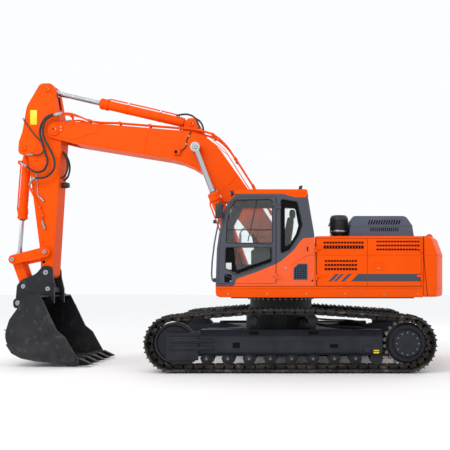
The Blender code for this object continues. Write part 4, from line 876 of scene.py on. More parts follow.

# %% [markdown]
# ## House panels
# The house is a frame with doors of folded sheet. Each door shows a shadow gap round it, rows of
# pressed louvres for the cooling air, a lock, and a crease that runs along the whole side. The
# louvre's upright fin is the piece that repeats, made once and copied over a near-black field of painted
# shade.

# %% Louvres, seams and latches
SLOT_WIDTH = 0.052


def louvres(out, *rows):
    """Rows (x0, x1, z0, z1) of pressed slots: upright fins over a near-black field of painted shade, with a
    painted rim.
    """
    face = out * SIDE
    pieces = []
    for x0, x1, z0, z1 in rows:
        low = z0 + (z1 - z0) * 0.04
        high = z0 + (z1 - z0) * 0.96
        field = rounded(x0, x1, low, high, min(0.012, (high - low) / 2.2))
        pieces.append(rimmed(field, 0.003, face, out, "y", orange, shade_and_print_black, 0.003))
        fin = coated(block((x0, x0 + 0.01), sorted((face + out * 0.0005, face + out * 0.005)), (low, high),
                           0.002), orange)
        count = int((x1 - x0) / SLOT_WIDTH)
        gap = (x1 - x0) / count
        for k in range(1, count):
            pieces.append(copied(fin, Matrix.Translation((gap * k - 0.005, 0, 0))))
        bpy.data.objects.remove(fin)
    return pieces


def shadow_line(points, out, width=0.006):
    """A thin dark seam along points (x, z) on the side of the house."""
    face = out * (SIDE + 0.0006)
    pieces = []
    for a, b in zip(points, points[1:]):
        way = Vector((b[0] - a[0], b[1] - a[1])).normalized()
        side = Vector((-way.y, way.x)) * width / 2
        corners = [(a[0] + side.x, a[1] + side.y), (a[0] - side.x, a[1] - side.y),
                   (b[0] - side.x, b[1] - side.y), (b[0] + side.x, b[1] + side.y)]
        pieces.append(coated(sheet_metal(corners, face - out * 0.001, face + out * 0.0006), shade_and_print_black))
    return pieces


def crease(points, out, paint_coat, width=0.016, height=0.005):
    """A raised roof-shaped crease pressed along points (x, z)."""
    pieces = []
    for a, b in zip(points, points[1:]):
        way = Vector((b[0] - a[0], b[1] - a[1])).normalized()
        side = Vector((-way.y, way.x)) * width / 2
        strip = sheet_metal([(a[0] + side.x, a[1] + side.y), (a[0] - side.x, a[1] - side.y),
                             (b[0] - side.x, b[1] - side.y), (b[0] + side.x, b[1] + side.y)],
                            out * (SIDE - 0.001), out * (SIDE + height), "y", height * 0.8)
        pieces.append(coated(strip, paint_coat))
    return pieces


def latch(x, z, out):
    """A paddle latch in a square tray."""
    face = out * SIDE
    tray = rimmed(rounded(x - 0.088, x + 0.088, z - 0.075, z + 0.075, 0.018), 0.008, face, out, "y", orange,
                  orange, 0.006)
    paddle = coated(sheet_metal(rounded(x - 0.055, x + 0.055, z - 0.012, z + 0.048, 0.012), face,
                                face + out * 0.008, "y", 0.003), orange)
    key = coated(disc((x, face + out * 0.007, z - 0.042), 0.014, 0.01, "y", 16, 0.002), zinc)
    return [tray, paddle, key]


# %% Left side doors
def band(bottom_front, top_front, bottom_rear, top_rear, z0, z1, out):
    """A slanted piece of the painted stripe, as a thin film on the side."""
    face = out * SIDE
    outline = [(bottom_front, z0), (bottom_rear, z0), (top_rear, z1), (top_front, z1)]
    return coated(sheet_metal(outline, face, face + out * 0.0015), stripe_paint)


STRIPE_Z = (1.625, 1.761)
front_door = louvres(-1, (0.806, 1.535, 2.3, 2.346), (0.806, 1.535, 2.205, 2.28), (0.826, 1.418, 1.97, 2.015),
                     (0.826, 1.418, 1.895, 1.945), (0.826, 1.418, 1.82, 1.875))
front_door += crease([(0.7, 2.1), (1.59, 2.1)], -1, orange)
slant = STRIPE_Z[1] - STRIPE_Z[0]
for front, rear in ((0.89, 1.018), (0.99, 1.09), (1.118, 1.24)):
    width = (rear - front) * 0.55
    front_door.append(band(front, front + slant, front + width, front + width + slant, *STRIPE_Z, -1))
front_door.append(band(1.302, 1.432, 1.596, 1.596, *STRIPE_Z, -1))
handed(front_door, "front_door_trim", "left_front_door", "orange_paint")

rear_door = louvres(-1, (1.757, 2.54, 2.322, 2.362), (1.757, 2.54, 2.25, 2.292), (1.757, 2.54, 2.178, 2.222))
rear_door += crease([(1.608, 2.1), (2.56, 2.1)], -1, orange)
rear_door.append(band(1.606, 1.606, 2.562, 2.562, *STRIPE_Z, -1))
rear_door += latch(1.8, 1.905, -1)
handed(rear_door, "rear_door_trim", "left_rear_door", "orange_paint")

right_door = louvres(1, (1.2, 1.95, 2.3, 2.346), (1.2, 1.95, 2.215, 2.26), (1.2, 1.95, 1.93, 1.98))
right_door += crease([(1.035, 2.1), (2.56, 2.1)], 1, orange)
right_door.append(band(1.3, 1.43, 2.562, 2.562, *STRIPE_Z, 1))
right_door += latch(1.15, 1.905, 1)
handed(right_door, "right_door_trim", "right_rear_door", "orange_paint")

# %% [markdown]
# What does not swing belongs to the house itself: the crease on the tail weight, the seam where
# it is bolted on, its lifting eyes, the non-slip strips on the deck, the fillers on the tanks
# and the rub rails along the skirts.

# %% Fixed panels, tanks and tail weight
TAIL = 3.19


def on_tail(angle, out_by):
    """A point on the tail's arc, a distance outside it."""
    return ((TAIL + out_by) * cos(angle), (TAIL + out_by) * sin(angle))


fixed = []
for out in (-1, 1):
    fixed += shadow_line([(2.606, 2.438), (2.61, 2.1), (2.64, 1.75), (2.68, 1.352)], out, 0.01)
    fixed += shadow_line([(0.664, 2.425), (0.68, 1.95), (0.69, 1.545)], out, 0.014)
    fixed += shadow_line([(-1.08, 1.541), (2.6, 1.541)], out, 0.008)
    fixed += crease([(2.612, 2.1), (2.82, 2.1)], out, orange)
    rail = block((-1.1, 2.6), sorted((out * SIDE, out * (SIDE + 0.008))), (1.5, 1.53), 0.004)
    fixed.append(coated(rail, orange))
    for x in (-0.9, -0.2, 0.5, 1.2, 1.9, 2.5):
        fixed.append(bolt((x, out * SIDE, 1.4), "y", out, 0.014, 0.008))
steps = 26
sweep = atan2(1.36, 2.88)
arc = [-sweep + 2 * sweep * k / steps for k in range(steps + 1)]
for z, height, coat_of in ((2.092, 0.016, orange), (1.5, 0.012, orange)):
    ring = [on_tail(a, 0.005) for a in arc] + [on_tail(a, -0.02) for a in reversed(arc)]
    fixed.append(coated(sheet_metal(ring, z, z + height, "z"), coat_of))
for y in (-0.75, 0.75):
    eye = turned([(0.028, -0.018), (0.062, -0.018), (0.07, -0.008), (0.07, 0.008), (0.062, 0.018),
                  (0.028, 0.018), (0.028, -0.018)], (2.85, y, 2.462), "y", 24)
    fixed.append(coated(eye, orange))
    fixed.append(coated(block((2.77, 2.93), (y - 0.03, y + 0.03), (2.436, 2.448), 0.004), orange))
for x in (0.9, 1.15, 2.62):
    fixed.append(coated(block((x, x + 0.1), (-1.38, -1.05), (2.44, 2.446), 0.002), plastic))
fixed.append(coated(sheet_metal(rounded(0.8, 1.0, -0.95, -0.6, 0.03), 2.44, 2.448, "z", 0.002), plastic))
fuel_cap = turned([(0.0, 0.052), (0.05, 0.052), (0.06, 0.044), (0.062, 0.012), (0.075, 0.008), (0.075, 0.0),
                   (0.0, 0.0)], (-0.04, 1.1, 2.44), "z", 24)
oil_cap = copied(fuel_cap, Matrix.Translation((0.55, -0.15, 0)))
fixed += [coated(fuel_cap, plastic), coated(oil_cap, plastic)]
for x0, x1 in ((-0.41, 0.34), (0.35, 0.675)):
    fixed.append(rimmed(rounded(x0 + 0.06, x1 - 0.06, 1.62, 2.36, 0.03), 0.006, SIDE, 1, "y", orange, orange,
                        0.004))
for x in (-1.05, -0.85, -0.65):
    fixed.append(coated(block((x, x + 0.12), (0.72, 1.35), (1.98, 1.986), 0.002), plastic))
fixed.append(rimmed(rounded(-1.06, -0.5, 1.6, 1.92, 0.03), 0.008, SIDE, 1, "y", orange, orange, 0.005))
handed(fixed, "house_trim", "house", "orange_paint")

# %% [markdown]
# The covers on top are satin blue-grey. The engine hood is pressed with slanted slots along its
# upper flank and a row of small ones below, and the pre-cleaner in front of it breathes through
# a ring of vanes under a dome, with a bright clamp round its bowl.

# %% Hood slots
def slot_row(x0, x1, z0, z1, y, out, count, lean):
    """Slanted slots with a pressed lip, side by side, their floors near-black painted shade."""
    pieces = []
    step = (x1 - x0) / count
    for k in range(count):
        a = x0 + step * (k + 0.1)
        b = x0 + step * (k + 0.74)
        outline = [(a, z0), (b, z0), (b + lean, z1), (a + lean, z1)]
        pieces.append(rimmed(outline, 0.002, y, out, "y", cover_paint, shade_and_print_black, 0.004))
    return pieces


hood = []
for out in (-1, 1):
    y = out * 0.95
    hood += slot_row(1.65, 2.26, 2.692, 2.782, y, out, 13, 0.03)
    hood += slot_row(1.7, 2.245, 2.566, 2.64, y, out, 14, 0.0)
    rim = block((1.335, 2.5), sorted((y, y + out * 0.006)), (2.66, 2.672), 0.003)
    hood.append(coated(rim, cover_paint))
    # the hood's seam is a near-black strip of painted shadow
    seam = block((1.33, 2.51), sorted((y, y + out * 0.004)), (2.448, 2.462), 0.002)
    hood.append(coated(seam, shade_and_print_black))
for k in range(9):
    x = 1.46 + 0.09 * k
    # each top slot's floor is near-black painted shade
    hood.append(rimmed([(x, -0.6), (x + 0.045, -0.6), (x + 0.045, 0.6), (x, 0.6)], 0.006, 2.856, 1, "z",
                       cover_paint, shade_and_print_black, 0.004))
for y in (-0.6, 0.6):
    grip = hose([(1.346, y - 0.09, 2.6), (1.326, y - 0.09, 2.6), (1.32, y - 0.06, 2.6),
                 (1.32, y + 0.06, 2.6), (1.326, y + 0.09, 2.6), (1.346, y + 0.09, 2.6)], 0.006)
    hood.append(coated(grip, plastic))
handed(hood, "hood_slots", "engine_hood", "grey_paint")

cleaner = [coated(turned([(0.12, 0.435), (0.138, 0.44), (0.15, 0.425), (0.166, 0.405), (0.174, 0.38),
                          (0.174, 0.345), (0.16, 0.34), (0.16, 0.4), (0.12, 0.43)], (1.13, -0.74, 2.44), "z",
                         40), plastic)]
vane = coated(block((1.13 + 0.158, 1.13 + 0.176), (-0.744, -0.736), (2.6, 2.78), 0.001), plastic)
to, back = Matrix.Translation((1.13, -0.74, 0)), Matrix.Translation((-1.13, 0.74, 0))
for k in range(40):
    cleaner.append(copied(vane, to @ Matrix.Rotation(2 * pi * k / 40, 4, "Z") @ back))
bpy.data.objects.remove(vane)
cleaner.append(coated(turned([(0.166, 0.12), (0.178, 0.12), (0.18, 0.128), (0.18, 0.146), (0.178, 0.152),
                              (0.16, 0.152), (0.16, 0.12), (0.166, 0.12)], (1.13, -0.74, 2.44), "z", 40),
                      zinc))
cleaner.append(coated(block((0.8, 0.96), (-0.86, -0.7), (2.44, 2.485), 0.012), plastic))
cleaner.append(coated(hose([(0.95, -0.78, 2.46), (1.0, -0.77, 2.47), (1.04, -0.75, 2.5)], 0.012), rubber))
handed(cleaner, "precleaner_vanes", "house", "black_plastic")

front = slot_row(1.02, 1.26, 2.6, 2.7, 0.95, 1, 5, 0.02)
front.append(coated(block((0.985, 1.27), (-0.4, 0.85), (2.82, 2.826), 0.002), plastic))
handed(front, "front_cover_slots", "house", "grey_paint")

# %% [markdown]
# ## Cab
# The cab is a steel shell with black rubber round every pane. The gaskets follow the window
# holes, so one helper takes a window's outline, rounds it and lays a closed tube of rubber on
# it. Then come the bars across the door's windows, the handle in its tray, and the lamps.

# %% Gaskets and door fittings
UPPER_PANE = [(-0.945, 2.32, 0.05), (-0.11, 2.3, 0.05), (-0.11, 3.11, 0.06), (-0.78, 3.09, 0.05),
              (-0.87, 2.93, 0.1), (-0.93, 2.66, 0.1)]
LOWER_PANE = [(-0.96, 1.86, 0.03), (-0.75, 1.74, 0.03), (-0.12, 1.97, 0.04), (-0.12, 2.24, 0.04),
              (-0.95, 2.24, 0.04)]
QUARTER_PANE = [(0.04, 2.12, 0.04), (0.2, 2.19, 0.06), (0.36, 2.44, 0.1), (0.43, 2.64, 0.06),
                (0.34, 3.06, 0.06), (0.04, 3.11, 0.04)]
RIGHT_PANE = [(-0.93, 1.95, 0.05), (0.4, 1.95, 0.05), (0.4, 3.05, 0.05), (-0.72, 3.05, 0.05),
              (-0.9, 2.7, 0.1)]


def round_corners(corners, steps=4):
    """The outline of corners (x, z, radius) with each corner rounded."""
    count = len(corners)
    outline = []
    for i, (x, z, radius) in enumerate(corners):
        here = Vector((x, z))
        before = Vector(corners[i - 1][:2]) - here
        after = Vector(corners[(i + 1) % count][:2]) - here
        half = before.angle(after) / 2
        reach = min(radius / max(1e-6, sin(half) / cos(half)), before.length * 0.45, after.length * 0.45)
        a, b = here + before.normalized() * reach, here + after.normalized() * reach
        for k in range(steps + 1):
            t = k / steps
            outline.append(tuple(a * (1 - t) ** 2 + here * 2 * t * (1 - t) + b * t ** 2))
    return outline


def gasket(corners, y, radius=0.009):
    """A closed rubber tube round a window."""
    outline = round_corners(corners)
    points = [(x, y, z) for x, z in outline]
    return coated(hose(points + points[:1], radius, 2, False), rubber)


DOOR_FACE = -SIDE
door = [gasket(UPPER_PANE, DOOR_FACE - 0.001), gasket(LOWER_PANE, DOOR_FACE - 0.001)]
cross = coated(block((-0.94, -0.115), (DOOR_FACE + 0.012, DOOR_FACE + 0.03), (2.545, 2.563), 0.004), plastic)
lean = coated(hose([(-0.39, DOOR_FACE + 0.02, 3.085), (-0.55, DOOR_FACE + 0.02, 2.35)], 0.009, 2, False),
              plastic)
door += [cross, lean]
tray = rimmed(rounded(-0.985, -0.83, 1.595, 1.765, 0.03), 0.008, DOOR_FACE, -1, "y", cover_paint, shade_and_print_black,
              0.005)
handle = coated(hose([(-0.965, DOOR_FACE - 0.004, 1.74), (-0.955, DOOR_FACE - 0.014, 1.735),
                      (-0.88, DOOR_FACE - 0.014, 1.7), (-0.86, DOOR_FACE - 0.004, 1.69)], 0.011), plastic)
door += [tray, handle]
door.append(coated(disc((-0.86, DOOR_FACE - 0.005, 1.63), 0.013, 0.01, "y", 16, 0.002), zinc))
door.append(coated(block((-0.965, -0.845), (DOOR_FACE + 0.01, DOOR_FACE + 0.014), (1.84, 1.96), 0.001),
                   plate_pale))
door.append(coated(hose([(-0.1, DOOR_FACE + 0.055, 1.8), (-0.1, DOOR_FACE + 0.085, 1.86),
                         (-0.1, DOOR_FACE + 0.085, 2.2), (-0.1, DOOR_FACE + 0.055, 2.26)], 0.01), plastic))
for z in (2.24, 2.32):
    seam = block((-0.96, -0.1), (DOOR_FACE - 0.003, DOOR_FACE + 0.003), (z - 0.003, z + 0.003), 0.001)
    door.append(coated(seam, rubber))
border = sheet_metal([(-0.955, 2.235), (-0.8, 2.235), (-0.775, 1.92), (-0.735, 1.765), (-0.955, 1.87)],
                     DOOR_FACE + 0.018, DOOR_FACE + 0.021)
door.append(coated(border, shade_and_print_black))
door.append(coated(sheet_metal([(-0.735, 1.765), (-0.745, 1.825), (-0.15, 2.035), (-0.15, 2.23),
                                (-0.125, 2.23),
                                (-0.125, 1.985)], DOOR_FACE + 0.018, DOOR_FACE + 0.021), shade_and_print_black))
handed(door, "door_trim", "cab_door", "grey_paint")

# %% Cab shell trim, lamps and wipers
trim = [gasket(QUARTER_PANE, -SIDE - 0.001), gasket(RIGHT_PANE, -0.55 + 0.001)]
trim += shadow_line([(-0.043, 1.6), (-0.043, 3.14)], -1, 0.012)
windscreen_edge = [(-1.118, 1.76), (-1.1, 2.212), (-1.067, 2.442), (-0.994, 2.83), (-0.938, 2.965),
                   (-0.905, 3.03)]
for y in (-1.352, -0.648):
    points = [(x - 0.002, y, z) for x, z in windscreen_edge]
    trim.append(coated(hose(points, 0.01, 2, False), rubber))
for x, z in (windscreen_edge[0], (-1.068, 2.442), windscreen_edge[-1]):
    trim.append(coated(hose([(x - 0.002, -1.352, z), (x - 0.002, -0.648, z)], 0.009, 2, False), rubber))
rear_edge = [(0.632, -1.352, 2.51), (0.632, -0.648, 2.51), (0.545, -0.648, 3.01), (0.545, -1.352, 3.01),
             (0.632, -1.352, 2.51)]
trim.append(coated(hose(rear_edge, 0.01, 2, False), rubber))
wiper = [coated(hose([(-1.13, -0.72, 1.9), (-1.128, -0.78, 2.1), (-1.11, -0.95, 2.35)], 0.007), plastic),
         coated(hose([(-1.112, -1.1, 2.2), (-1.095, -0.98, 2.4), (-1.064, -0.86, 2.62)], 0.008), rubber),
         coated(disc((-1.128, -0.72, 1.9), 0.022, 0.03, "x", 16, 0.004), plastic)]
trim += wiper


def work_lamp(place, aim):
    """A round work lamp: a can on a foot, and a lens."""
    x, y, z = place
    can = turned([(0.0, 0.055), (0.03, 0.055), (0.045, 0.035), (0.05, 0.01), (0.054, 0.008),
                  (0.054, -0.006), (0.0, -0.006)], (0, 0, 0), "z", 24)
    lens = turned([(0.0, -0.012), (0.03, -0.01), (0.047, -0.005), (0.047, 0.0), (0.0, 0.0)], (0, 0, 0), "z",
                  24)
    coated(can, plastic)
    coated(lens, lamp_lens)
    turn = (-Vector(aim)).to_track_quat("Z", "Y").to_matrix().to_4x4()
    lamp = joined([can, lens])
    lamp.data.transform(Matrix.Translation(place) @ turn)
    foot = coated(bar((x, y, z), (x + 0.02, y, z - 0.07), 0.01, 8), plastic)
    return [lamp, foot]


trim += work_lamp((-0.86, -1.4, 3.215), (-1, 0, -0.3))
trim += work_lamp((-0.86, -0.62, 3.215), (-1, 0, -0.3))
trim += work_lamp((0.42, -1.3, 3.32), (1, 0, -0.2))
trim.append(coated(block((0.4, 0.52), (-1.25, -0.72), (3.285, 3.305), 0.006), plastic))
roof_line = sheet_metal(rounded(-0.62, 0.4, -1.36, -0.64, 0.06), 3.285, 3.297, "z", 0.004)
trim.append(coated(roof_line, orange))
# the grille's floor behind the bars is near-black painted shade
mesh_plate = rimmed([(0.268, 1.652), (0.525, 1.652), (0.525, 1.947), (0.355, 1.947), (0.268, 1.862)], 0.012,
                    -SIDE, -1, "y", cover_paint, shade_and_print_black, 0.006)
trim.append(mesh_plate)
for k in range(8):
    x = 0.292 + 0.03 * k
    trim.append(coated(bar((x, -SIDE - 0.003, 1.665), (x, -SIDE - 0.003, min(1.934, 1.853 + (x - 0.268))),
                           0.0035, 6), cover_paint))
for k in range(8):
    z = 1.68 + 0.034 * k
    start = 0.28 if z < 1.862 else 0.28 + (z - 1.862)
    trim.append(coated(bar((start, -SIDE - 0.003, z), (0.513, -SIDE - 0.003, z), 0.0035, 6), cover_paint))
for a, b in (((0.66, 2.1), (0.566, 2.1)), ((0.566, 2.1), (0.47, 2.075)), ((0.47, 2.075), (0.39, 2.01)),
             ((0.39, 2.01), (0.21, 1.9))):
    trim += crease([a, b], -1, orange)
trim.append(coated(disc((0.128, -SIDE - 0.004, 1.87), 0.02, 0.01, "y", 20, 0.002), zinc))
trim.append(coated(sheet_metal(rounded(0.513, 0.535, 2.165, 2.25, 0.008), -SIDE - 0.003, -SIDE + 0.001),
                   shade_and_print_black))
trim.append(coated(disc((0.61, -SIDE - 0.002, 1.64), 0.016, 0.006, "y", 16), shade_and_print_black))
rail_y = -SIDE + 0.02
for z in (1.655, 2.7):
    trim.append(coated(block((-1.175, -1.12), (rail_y - 0.03, rail_y + 0.03), (z - 0.03, z + 0.03), 0.008),
                       plastic))
for out_y, step in ((-SIDE - 0.0015, 0.003), (-0.55, 0.0015)):
    lip = sheet_metal([(0.06, 3.206), (0.3, 3.14), (0.49, 3.14), (0.53, 3.206)], out_y, out_y + step)
    trim.append(coated(lip, orange))
trim.append(coated(block((0.505, 0.535), (-1.44, -0.56), (3.15, 3.206), 0.008), orange))


def frit(corners, share, y, thick=0.003):
    """The black printed border of a pane: a flat ring between its outline and a smaller one."""
    outer = round_corners(corners)
    mid_x = sum(x for x, z in outer) / len(outer)
    mid_z = sum(z for x, z in outer) / len(outer)
    inner = [(mid_x + (x - mid_x) * share[0], mid_z + (z - mid_z) * share[1]) for x, z in outer]
    pieces = []
    for i, (a, b) in enumerate(zip(outer, inner)):
        c, d = inner[(i + 1) % len(inner)], outer[(i + 1) % len(outer)]
        if (Vector(a) - Vector(d)).length > 1e-4:
            pieces.append(coated(sheet_metal([a, b, c, d], y, y + thick), shade_and_print_black))
    return pieces


trim += frit(QUARTER_PANE, (0.62, 0.72), -SIDE + 0.018)
handed(trim, "cab_trim", "house", "grey_paint")

mirror = [coated(block((-1.125, -0.985), (-1.555, -1.505), (2.748, 3.02), 0.022), plastic),
          coated(hose([(-0.905, -1.4, 3.05), (-0.99, -1.43, 3.052), (-1.05, -1.5, 3.04),
                       (-1.055, -1.51, 3.0)],
                      0.011), plastic),
          coated(block((-1.105, -1.005), (-1.508, -1.502), (2.77, 3.0), 0.003), zinc)]
handed(mirror, "mirror_left", "house", "black_plastic", "mirror_l")

# %% [markdown]
# Inside, the seat gets its cushions: each is a cube subdivided and swollen, so its sides pull in
# between the corners. The levers get boots and grips, and a monitor stands
# by the front post.

# %% Seat, levers and monitor
def cushion(xs, ys, zs):
    """A padded cushion: a bevelled block, subdivided, with its broad faces crowned."""
    pad = block(xs, ys, zs, 0.03)
    clear()
    bpy.context.view_layer.objects.active = pad
    pad.select_set(True)
    bpy.ops.object.mode_set(mode="EDIT")
    bpy.ops.mesh.select_all(action="SELECT")
    bpy.ops.mesh.subdivide(number_cuts=5)
    bpy.ops.object.mode_set(mode="OBJECT")
    middle = Vector([(a + b) / 2 for a, b in (xs, ys, zs)])
    half = Vector([abs(b - a) / 2 for a, b in (xs, ys, zs)])
    thin = min(range(3), key=lambda i: half[i])
    for vertex in pad.data.vertices:
        rel = [(vertex.co[i] - middle[i]) / half[i] for i in range(3)]
        crown = 1.0
        for i in range(3):
            if i != thin:
                crown *= max(0.0, 1 - rel[i] ** 2)
        vertex.co[thin] += rel[thin] * half[thin] * 0.3 * crown
        for i in range(3):
            if i != thin:
                other = 3 - thin - i
                vertex.co[i] -= rel[i] * half[i] * 0.05 * (1 - rel[other] ** 2)
    smooth = pad.modifiers.new("smooth", "SUBSURF")
    smooth.levels = smooth.render_levels = 1
    bpy.ops.object.modifier_apply(modifier="smooth")
    return coated(pad, cloth)


MID = -1.0
pan = cushion((-0.43, 0.09), (MID - 0.235, MID + 0.235), (2.06, 2.16))
back = cushion((-0.06, 0.06), (MID - 0.225, MID + 0.225), (-0.36, 0.36))
back.data.transform(Matrix.Translation((0.155, 0, 2.45)) @ Matrix.Rotation(radians(10), 4, "Y"))
rest = cushion((-0.045, 0.045), (MID - 0.13, MID + 0.13), (2.8, 2.96))
rest.data.transform(Matrix.Translation((0.245, 0, 0)))
base = [coated(block((-0.36, 0.1), (MID - 0.19, MID + 0.19), (1.86, 2.05), 0.02), plastic)]
base.append(coated(hose([(-0.34, MID, 1.6), (-0.2, MID, 1.75), (-0.1, MID, 1.87)], 0.05), plastic))
base.append(coated(block((-0.36, 0.12), (MID - 0.17, MID + 0.17), (1.59, 1.86), 0.03), plastic))
for y in (MID - 0.09, MID + 0.09):
    base.append(coated(bar((0.19, y, 2.76), (0.235, y, 2.86), 0.008, 8), zinc))
for name, pad in (("seat_pan", pan), ("seat_back", back), ("head_rest", rest)):
    pad.name = name
    pad.data.transform(Matrix.Translation((SLEW_X, 0, 0)))
    clear()
    bpy.context.view_layer.objects.active = pad
    pad.select_set(True)
    bpy.ops.object.shade_smooth_by_angle(angle=radians(60))
    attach(pad, "house")
handed(base, "seat_base", "house", "black_plastic")
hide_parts("cab_seat")

levers = []
for y in (MID - 0.315, MID + 0.315):
    levers.append(coated(turned([(0.045, 2.19), (0.04, 2.21), (0.028, 2.22), (0.034, 2.235), (0.02, 2.25),
                                 (0.024, 2.262), (0.012, 2.28), (0.0, 2.28)], (-0.42, y,
                                                                               0), "z", 20), rubber))
    levers.append(coated(hose([(-0.452, y, 2.36), (-0.462, y, 2.41), (-0.466, y, 2.46), (-0.476, y, 2.485)],
                              0.022),
                         plastic))
    levers.append(coated(block((-0.38, 0.06), (y - 0.05, y + 0.05), (2.2, 2.235), 0.015), plastic))
for y in (MID - 0.1, MID + 0.1):
    levers.append(coated(hose([(-0.66, y, 1.7), (-0.7, y, 1.95), (-0.76, y, 2.16)], 0.011), plastic))
    levers.append(coated(block((-0.8, -0.6), (y - 0.05, y + 0.05), (1.675, 1.69), 0.005), plastic))
levers.append(coated(block((-0.86, -0.83), (-0.78, -0.62), (2.22, 2.4), 0.008), plastic))
levers.append(coated(hose([(-0.84, -0.64, 2.25), (-0.86, -0.62, 2.1), (-0.9, -0.605, 2.0)], 0.012), plastic))
levers.append(coated(block((0.16, 0.44), (-1.36, -0.64), (1.6, 2.3), 0.03), plastic))
handed(levers, "cab_controls", "house", "black_plastic")

# %% [markdown]
# On the right, a plain bolted panel closes the bay between the hydraulic tank and the side door.

# %% The fixed panel between the right tank and the right door
panel = [coated(block((0.684, 1.018), (1.44, 1.482), (1.548, 2.388), 0.008), orange)]
for x in (0.715, 0.987):
    for z in (1.585, 1.965, 2.35):
        panel.append(bolt((x, 1.482, z), "y", 1, 0.012, 0.008))
handed(panel, "right_fixed_panel", "house", "orange_paint")

# %% [markdown]
# ## Boom
# The boom is a box of four plates, so its detail is what welding leaves: a bead along each seam,
# doubler plates where the nose and the foot are loaded, and thin lines where plates of
# different thickness meet. A bead is a small tube laid along its seam and half sunk in it. Steel
# pipes run along the top, held by clamps, and carry oil to the arm.

# %% Boom seams, doublers and pin heads
BOOM_FACE = 0.25


def bead(points, y, radius=0.007, material=None):
    """A weld bead along points (x, z) at a height y off the middle."""
    return coated(hose([(x, y, z) for x, z in points], radius, 1, False), material or orange)


def pin_head(place, out, radius, depth=0.022, finish=None):
    """A pin's end: a chamfered disc with a grease hole and the keeper's bolt."""
    x, y, z = place
    head = turned([(0.0, out * depth), (radius * 0.82, out * depth), (radius, out * depth * 0.6),
                   (radius, 0.0), (0.0, 0.0)], (x, y, z), "y", 24)
    # the grease hole is a flat near-black disc of painted shade
    hole = coated(disc((x, y + out * depth, z), radius * 0.22, 0.003, "y", 12), shade_and_print_black)
    return [coated(head, finish or zinc), hole,
            bolt((x + radius * 0.55, y + out * depth, z), "y", out, radius * 0.14, 0.006)]


boom_trim = []
for out in (-1, 1):
    y = out * BOOM_FACE
    doubler = sheet_metal([(-4.56, 4.56), (-4.2, 4.44), (-3.98, 4.48), (-3.62, 4.6), (-3.6, 4.7),
                           (-4.02, 4.78), (-4.3, 4.785), (-4.56, 4.74)], y, y + out * 0.01, "y", 0.004)
    boom_trim.append(coated(doubler, orange))
    for seam in ([(-3.895, 4.76), (-3.925, 4.4)], [(-2.595, 4.665), (-2.715, 4.2)],
                 [(-0.845, 3.745), (-1.205, 3.375)]):
        boom_trim.append(bead(seam, y + out * 0.001, 0.006))
    boom_trim.append(bead([(-4.1, 4.792), (-3.2, 4.715), (-2.3, 4.64), (-1.75, 4.585), (-1.4, 4.49),
                           (-1.1, 4.24), (-0.7, 3.6), (-0.2, 2.84), (0.13, 2.34)], y - out * 0.002, 0.007))
    boom_trim.append(bead([(-4.06, 4.392), (-3.2, 4.252), (-2.4, 4.118), (-1.9, 4.015), (-1.55, 3.84),
                           (-1.2, 3.36), (-0.85, 2.88), (-0.5, 2.43)], y - out * 0.002, 0.007))
    foot_plate = sheet_metal([(-0.16, 2.05), (-0.1, 2.24), (0.05, 2.31), (0.2, 2.2), (0.22, 2.02),
                              (0.13, 1.92), (-0.05, 1.92)], y, y + out * 0.012, "y", 0.005)
    boom_trim.append(coated(foot_plate, orange))
    boom_trim += pin_head((-4.488, out * 0.285, 4.644), out, 0.08, 0.018, orange)
    keeper = sheet_metal([(-4.5, 4.6), (-4.32, 4.59), (-4.31, 4.72), (-4.5, 4.735)], out * 0.258, out * 0.272,
                         "y", 0.005)
    boom_trim += [coated(keeper, orange), bolt((-4.35, out * 0.272, 4.625), "y", out, 0.014, 0.01),
                  bolt((-4.35, out * 0.272, 4.69), "y", out, 0.014, 0.01)]
    boom_trim += pin_head((-1.79, out * 0.105, 4.8), out, 0.06, 0.022, orange)
lamp = coated(block((-2.115, -1.975), (-0.31, -0.25), (4.135, 4.245), 0.014), orange)
lens = rimmed([(-2.1, 4.15), (-2.03, 4.15), (-2.03, 4.23), (-2.1, 4.23)], 0.008, -0.31, -1, "y", orange,
              shade_and_print_black, 0.005)
boom_trim += [lamp, lens]
cable = hose([(-1.965, -0.262, 4.22), (-1.88, -0.262, 4.3), (-1.86, -0.262, 4.42), (-1.8, -0.262, 4.55),
              (-1.765, -0.262, 4.6)], 0.01)
boom_trim.append(coated(cable, rubber))
for k in range(2):
    boom_trim.append(coated(block((-1.885 + 0.05 * k, -1.845 + 0.05 * k), (-0.275, -0.249),
                                  (4.34 + 0.16 * k, 4.36 + 0.16 * k), 0.004), zinc))
handed(boom_trim, "boom_welds", "boom", "orange_paint")

# %% [markdown]
# The pipes follow the boom's back from the foot to the nose. Two lie on the left and two on the
# right, each a long curve. A clamp is a saddle block with two bolts, modelled once on the
# flat and copied along the run, turned to the slope of the boom under it.

# %% Boom pipes and clamps
BACK = [(0.175, 2.46), (-0.2, 3.0), (-0.55, 3.52), (-0.9, 4.06), (-1.12, 4.36), (-1.35, 4.54), (-1.62, 4.62),
        (-2.0, 4.665), (-2.6, 4.715), (-3.2, 4.765), (-3.8, 4.812), (-4.05, 4.83)]
pipes = []
for y, end_y, drop in ((-0.205, -0.3, 0.0), (-0.155, -0.35, 0.035), (0.155, 0.35, 0.035), (0.205, 0.3, 0.0)):
    run = [(x, y, z + 0.02) for x, z in BACK[:-1]]
    run += [(-3.98, (2 * y + end_y) / 3, 4.9), (-4.15, (y + 2 * end_y) / 3, 4.955 - drop),
            (-4.32, end_y, 4.955 - drop)]
    pipes.append(coated(hose(run, 0.017), orange))
    pipes.append(coated(bar((-4.31, end_y, 4.955 - drop), (-4.46, end_y, 4.94 - drop), 0.024, 14, 0.002),
                        zinc))
    pipes.append(coated(bar((-4.36, end_y, 4.951 - drop), (-4.4, end_y, 4.947 - drop), 0.032, 6, 0.001),
                        zinc))
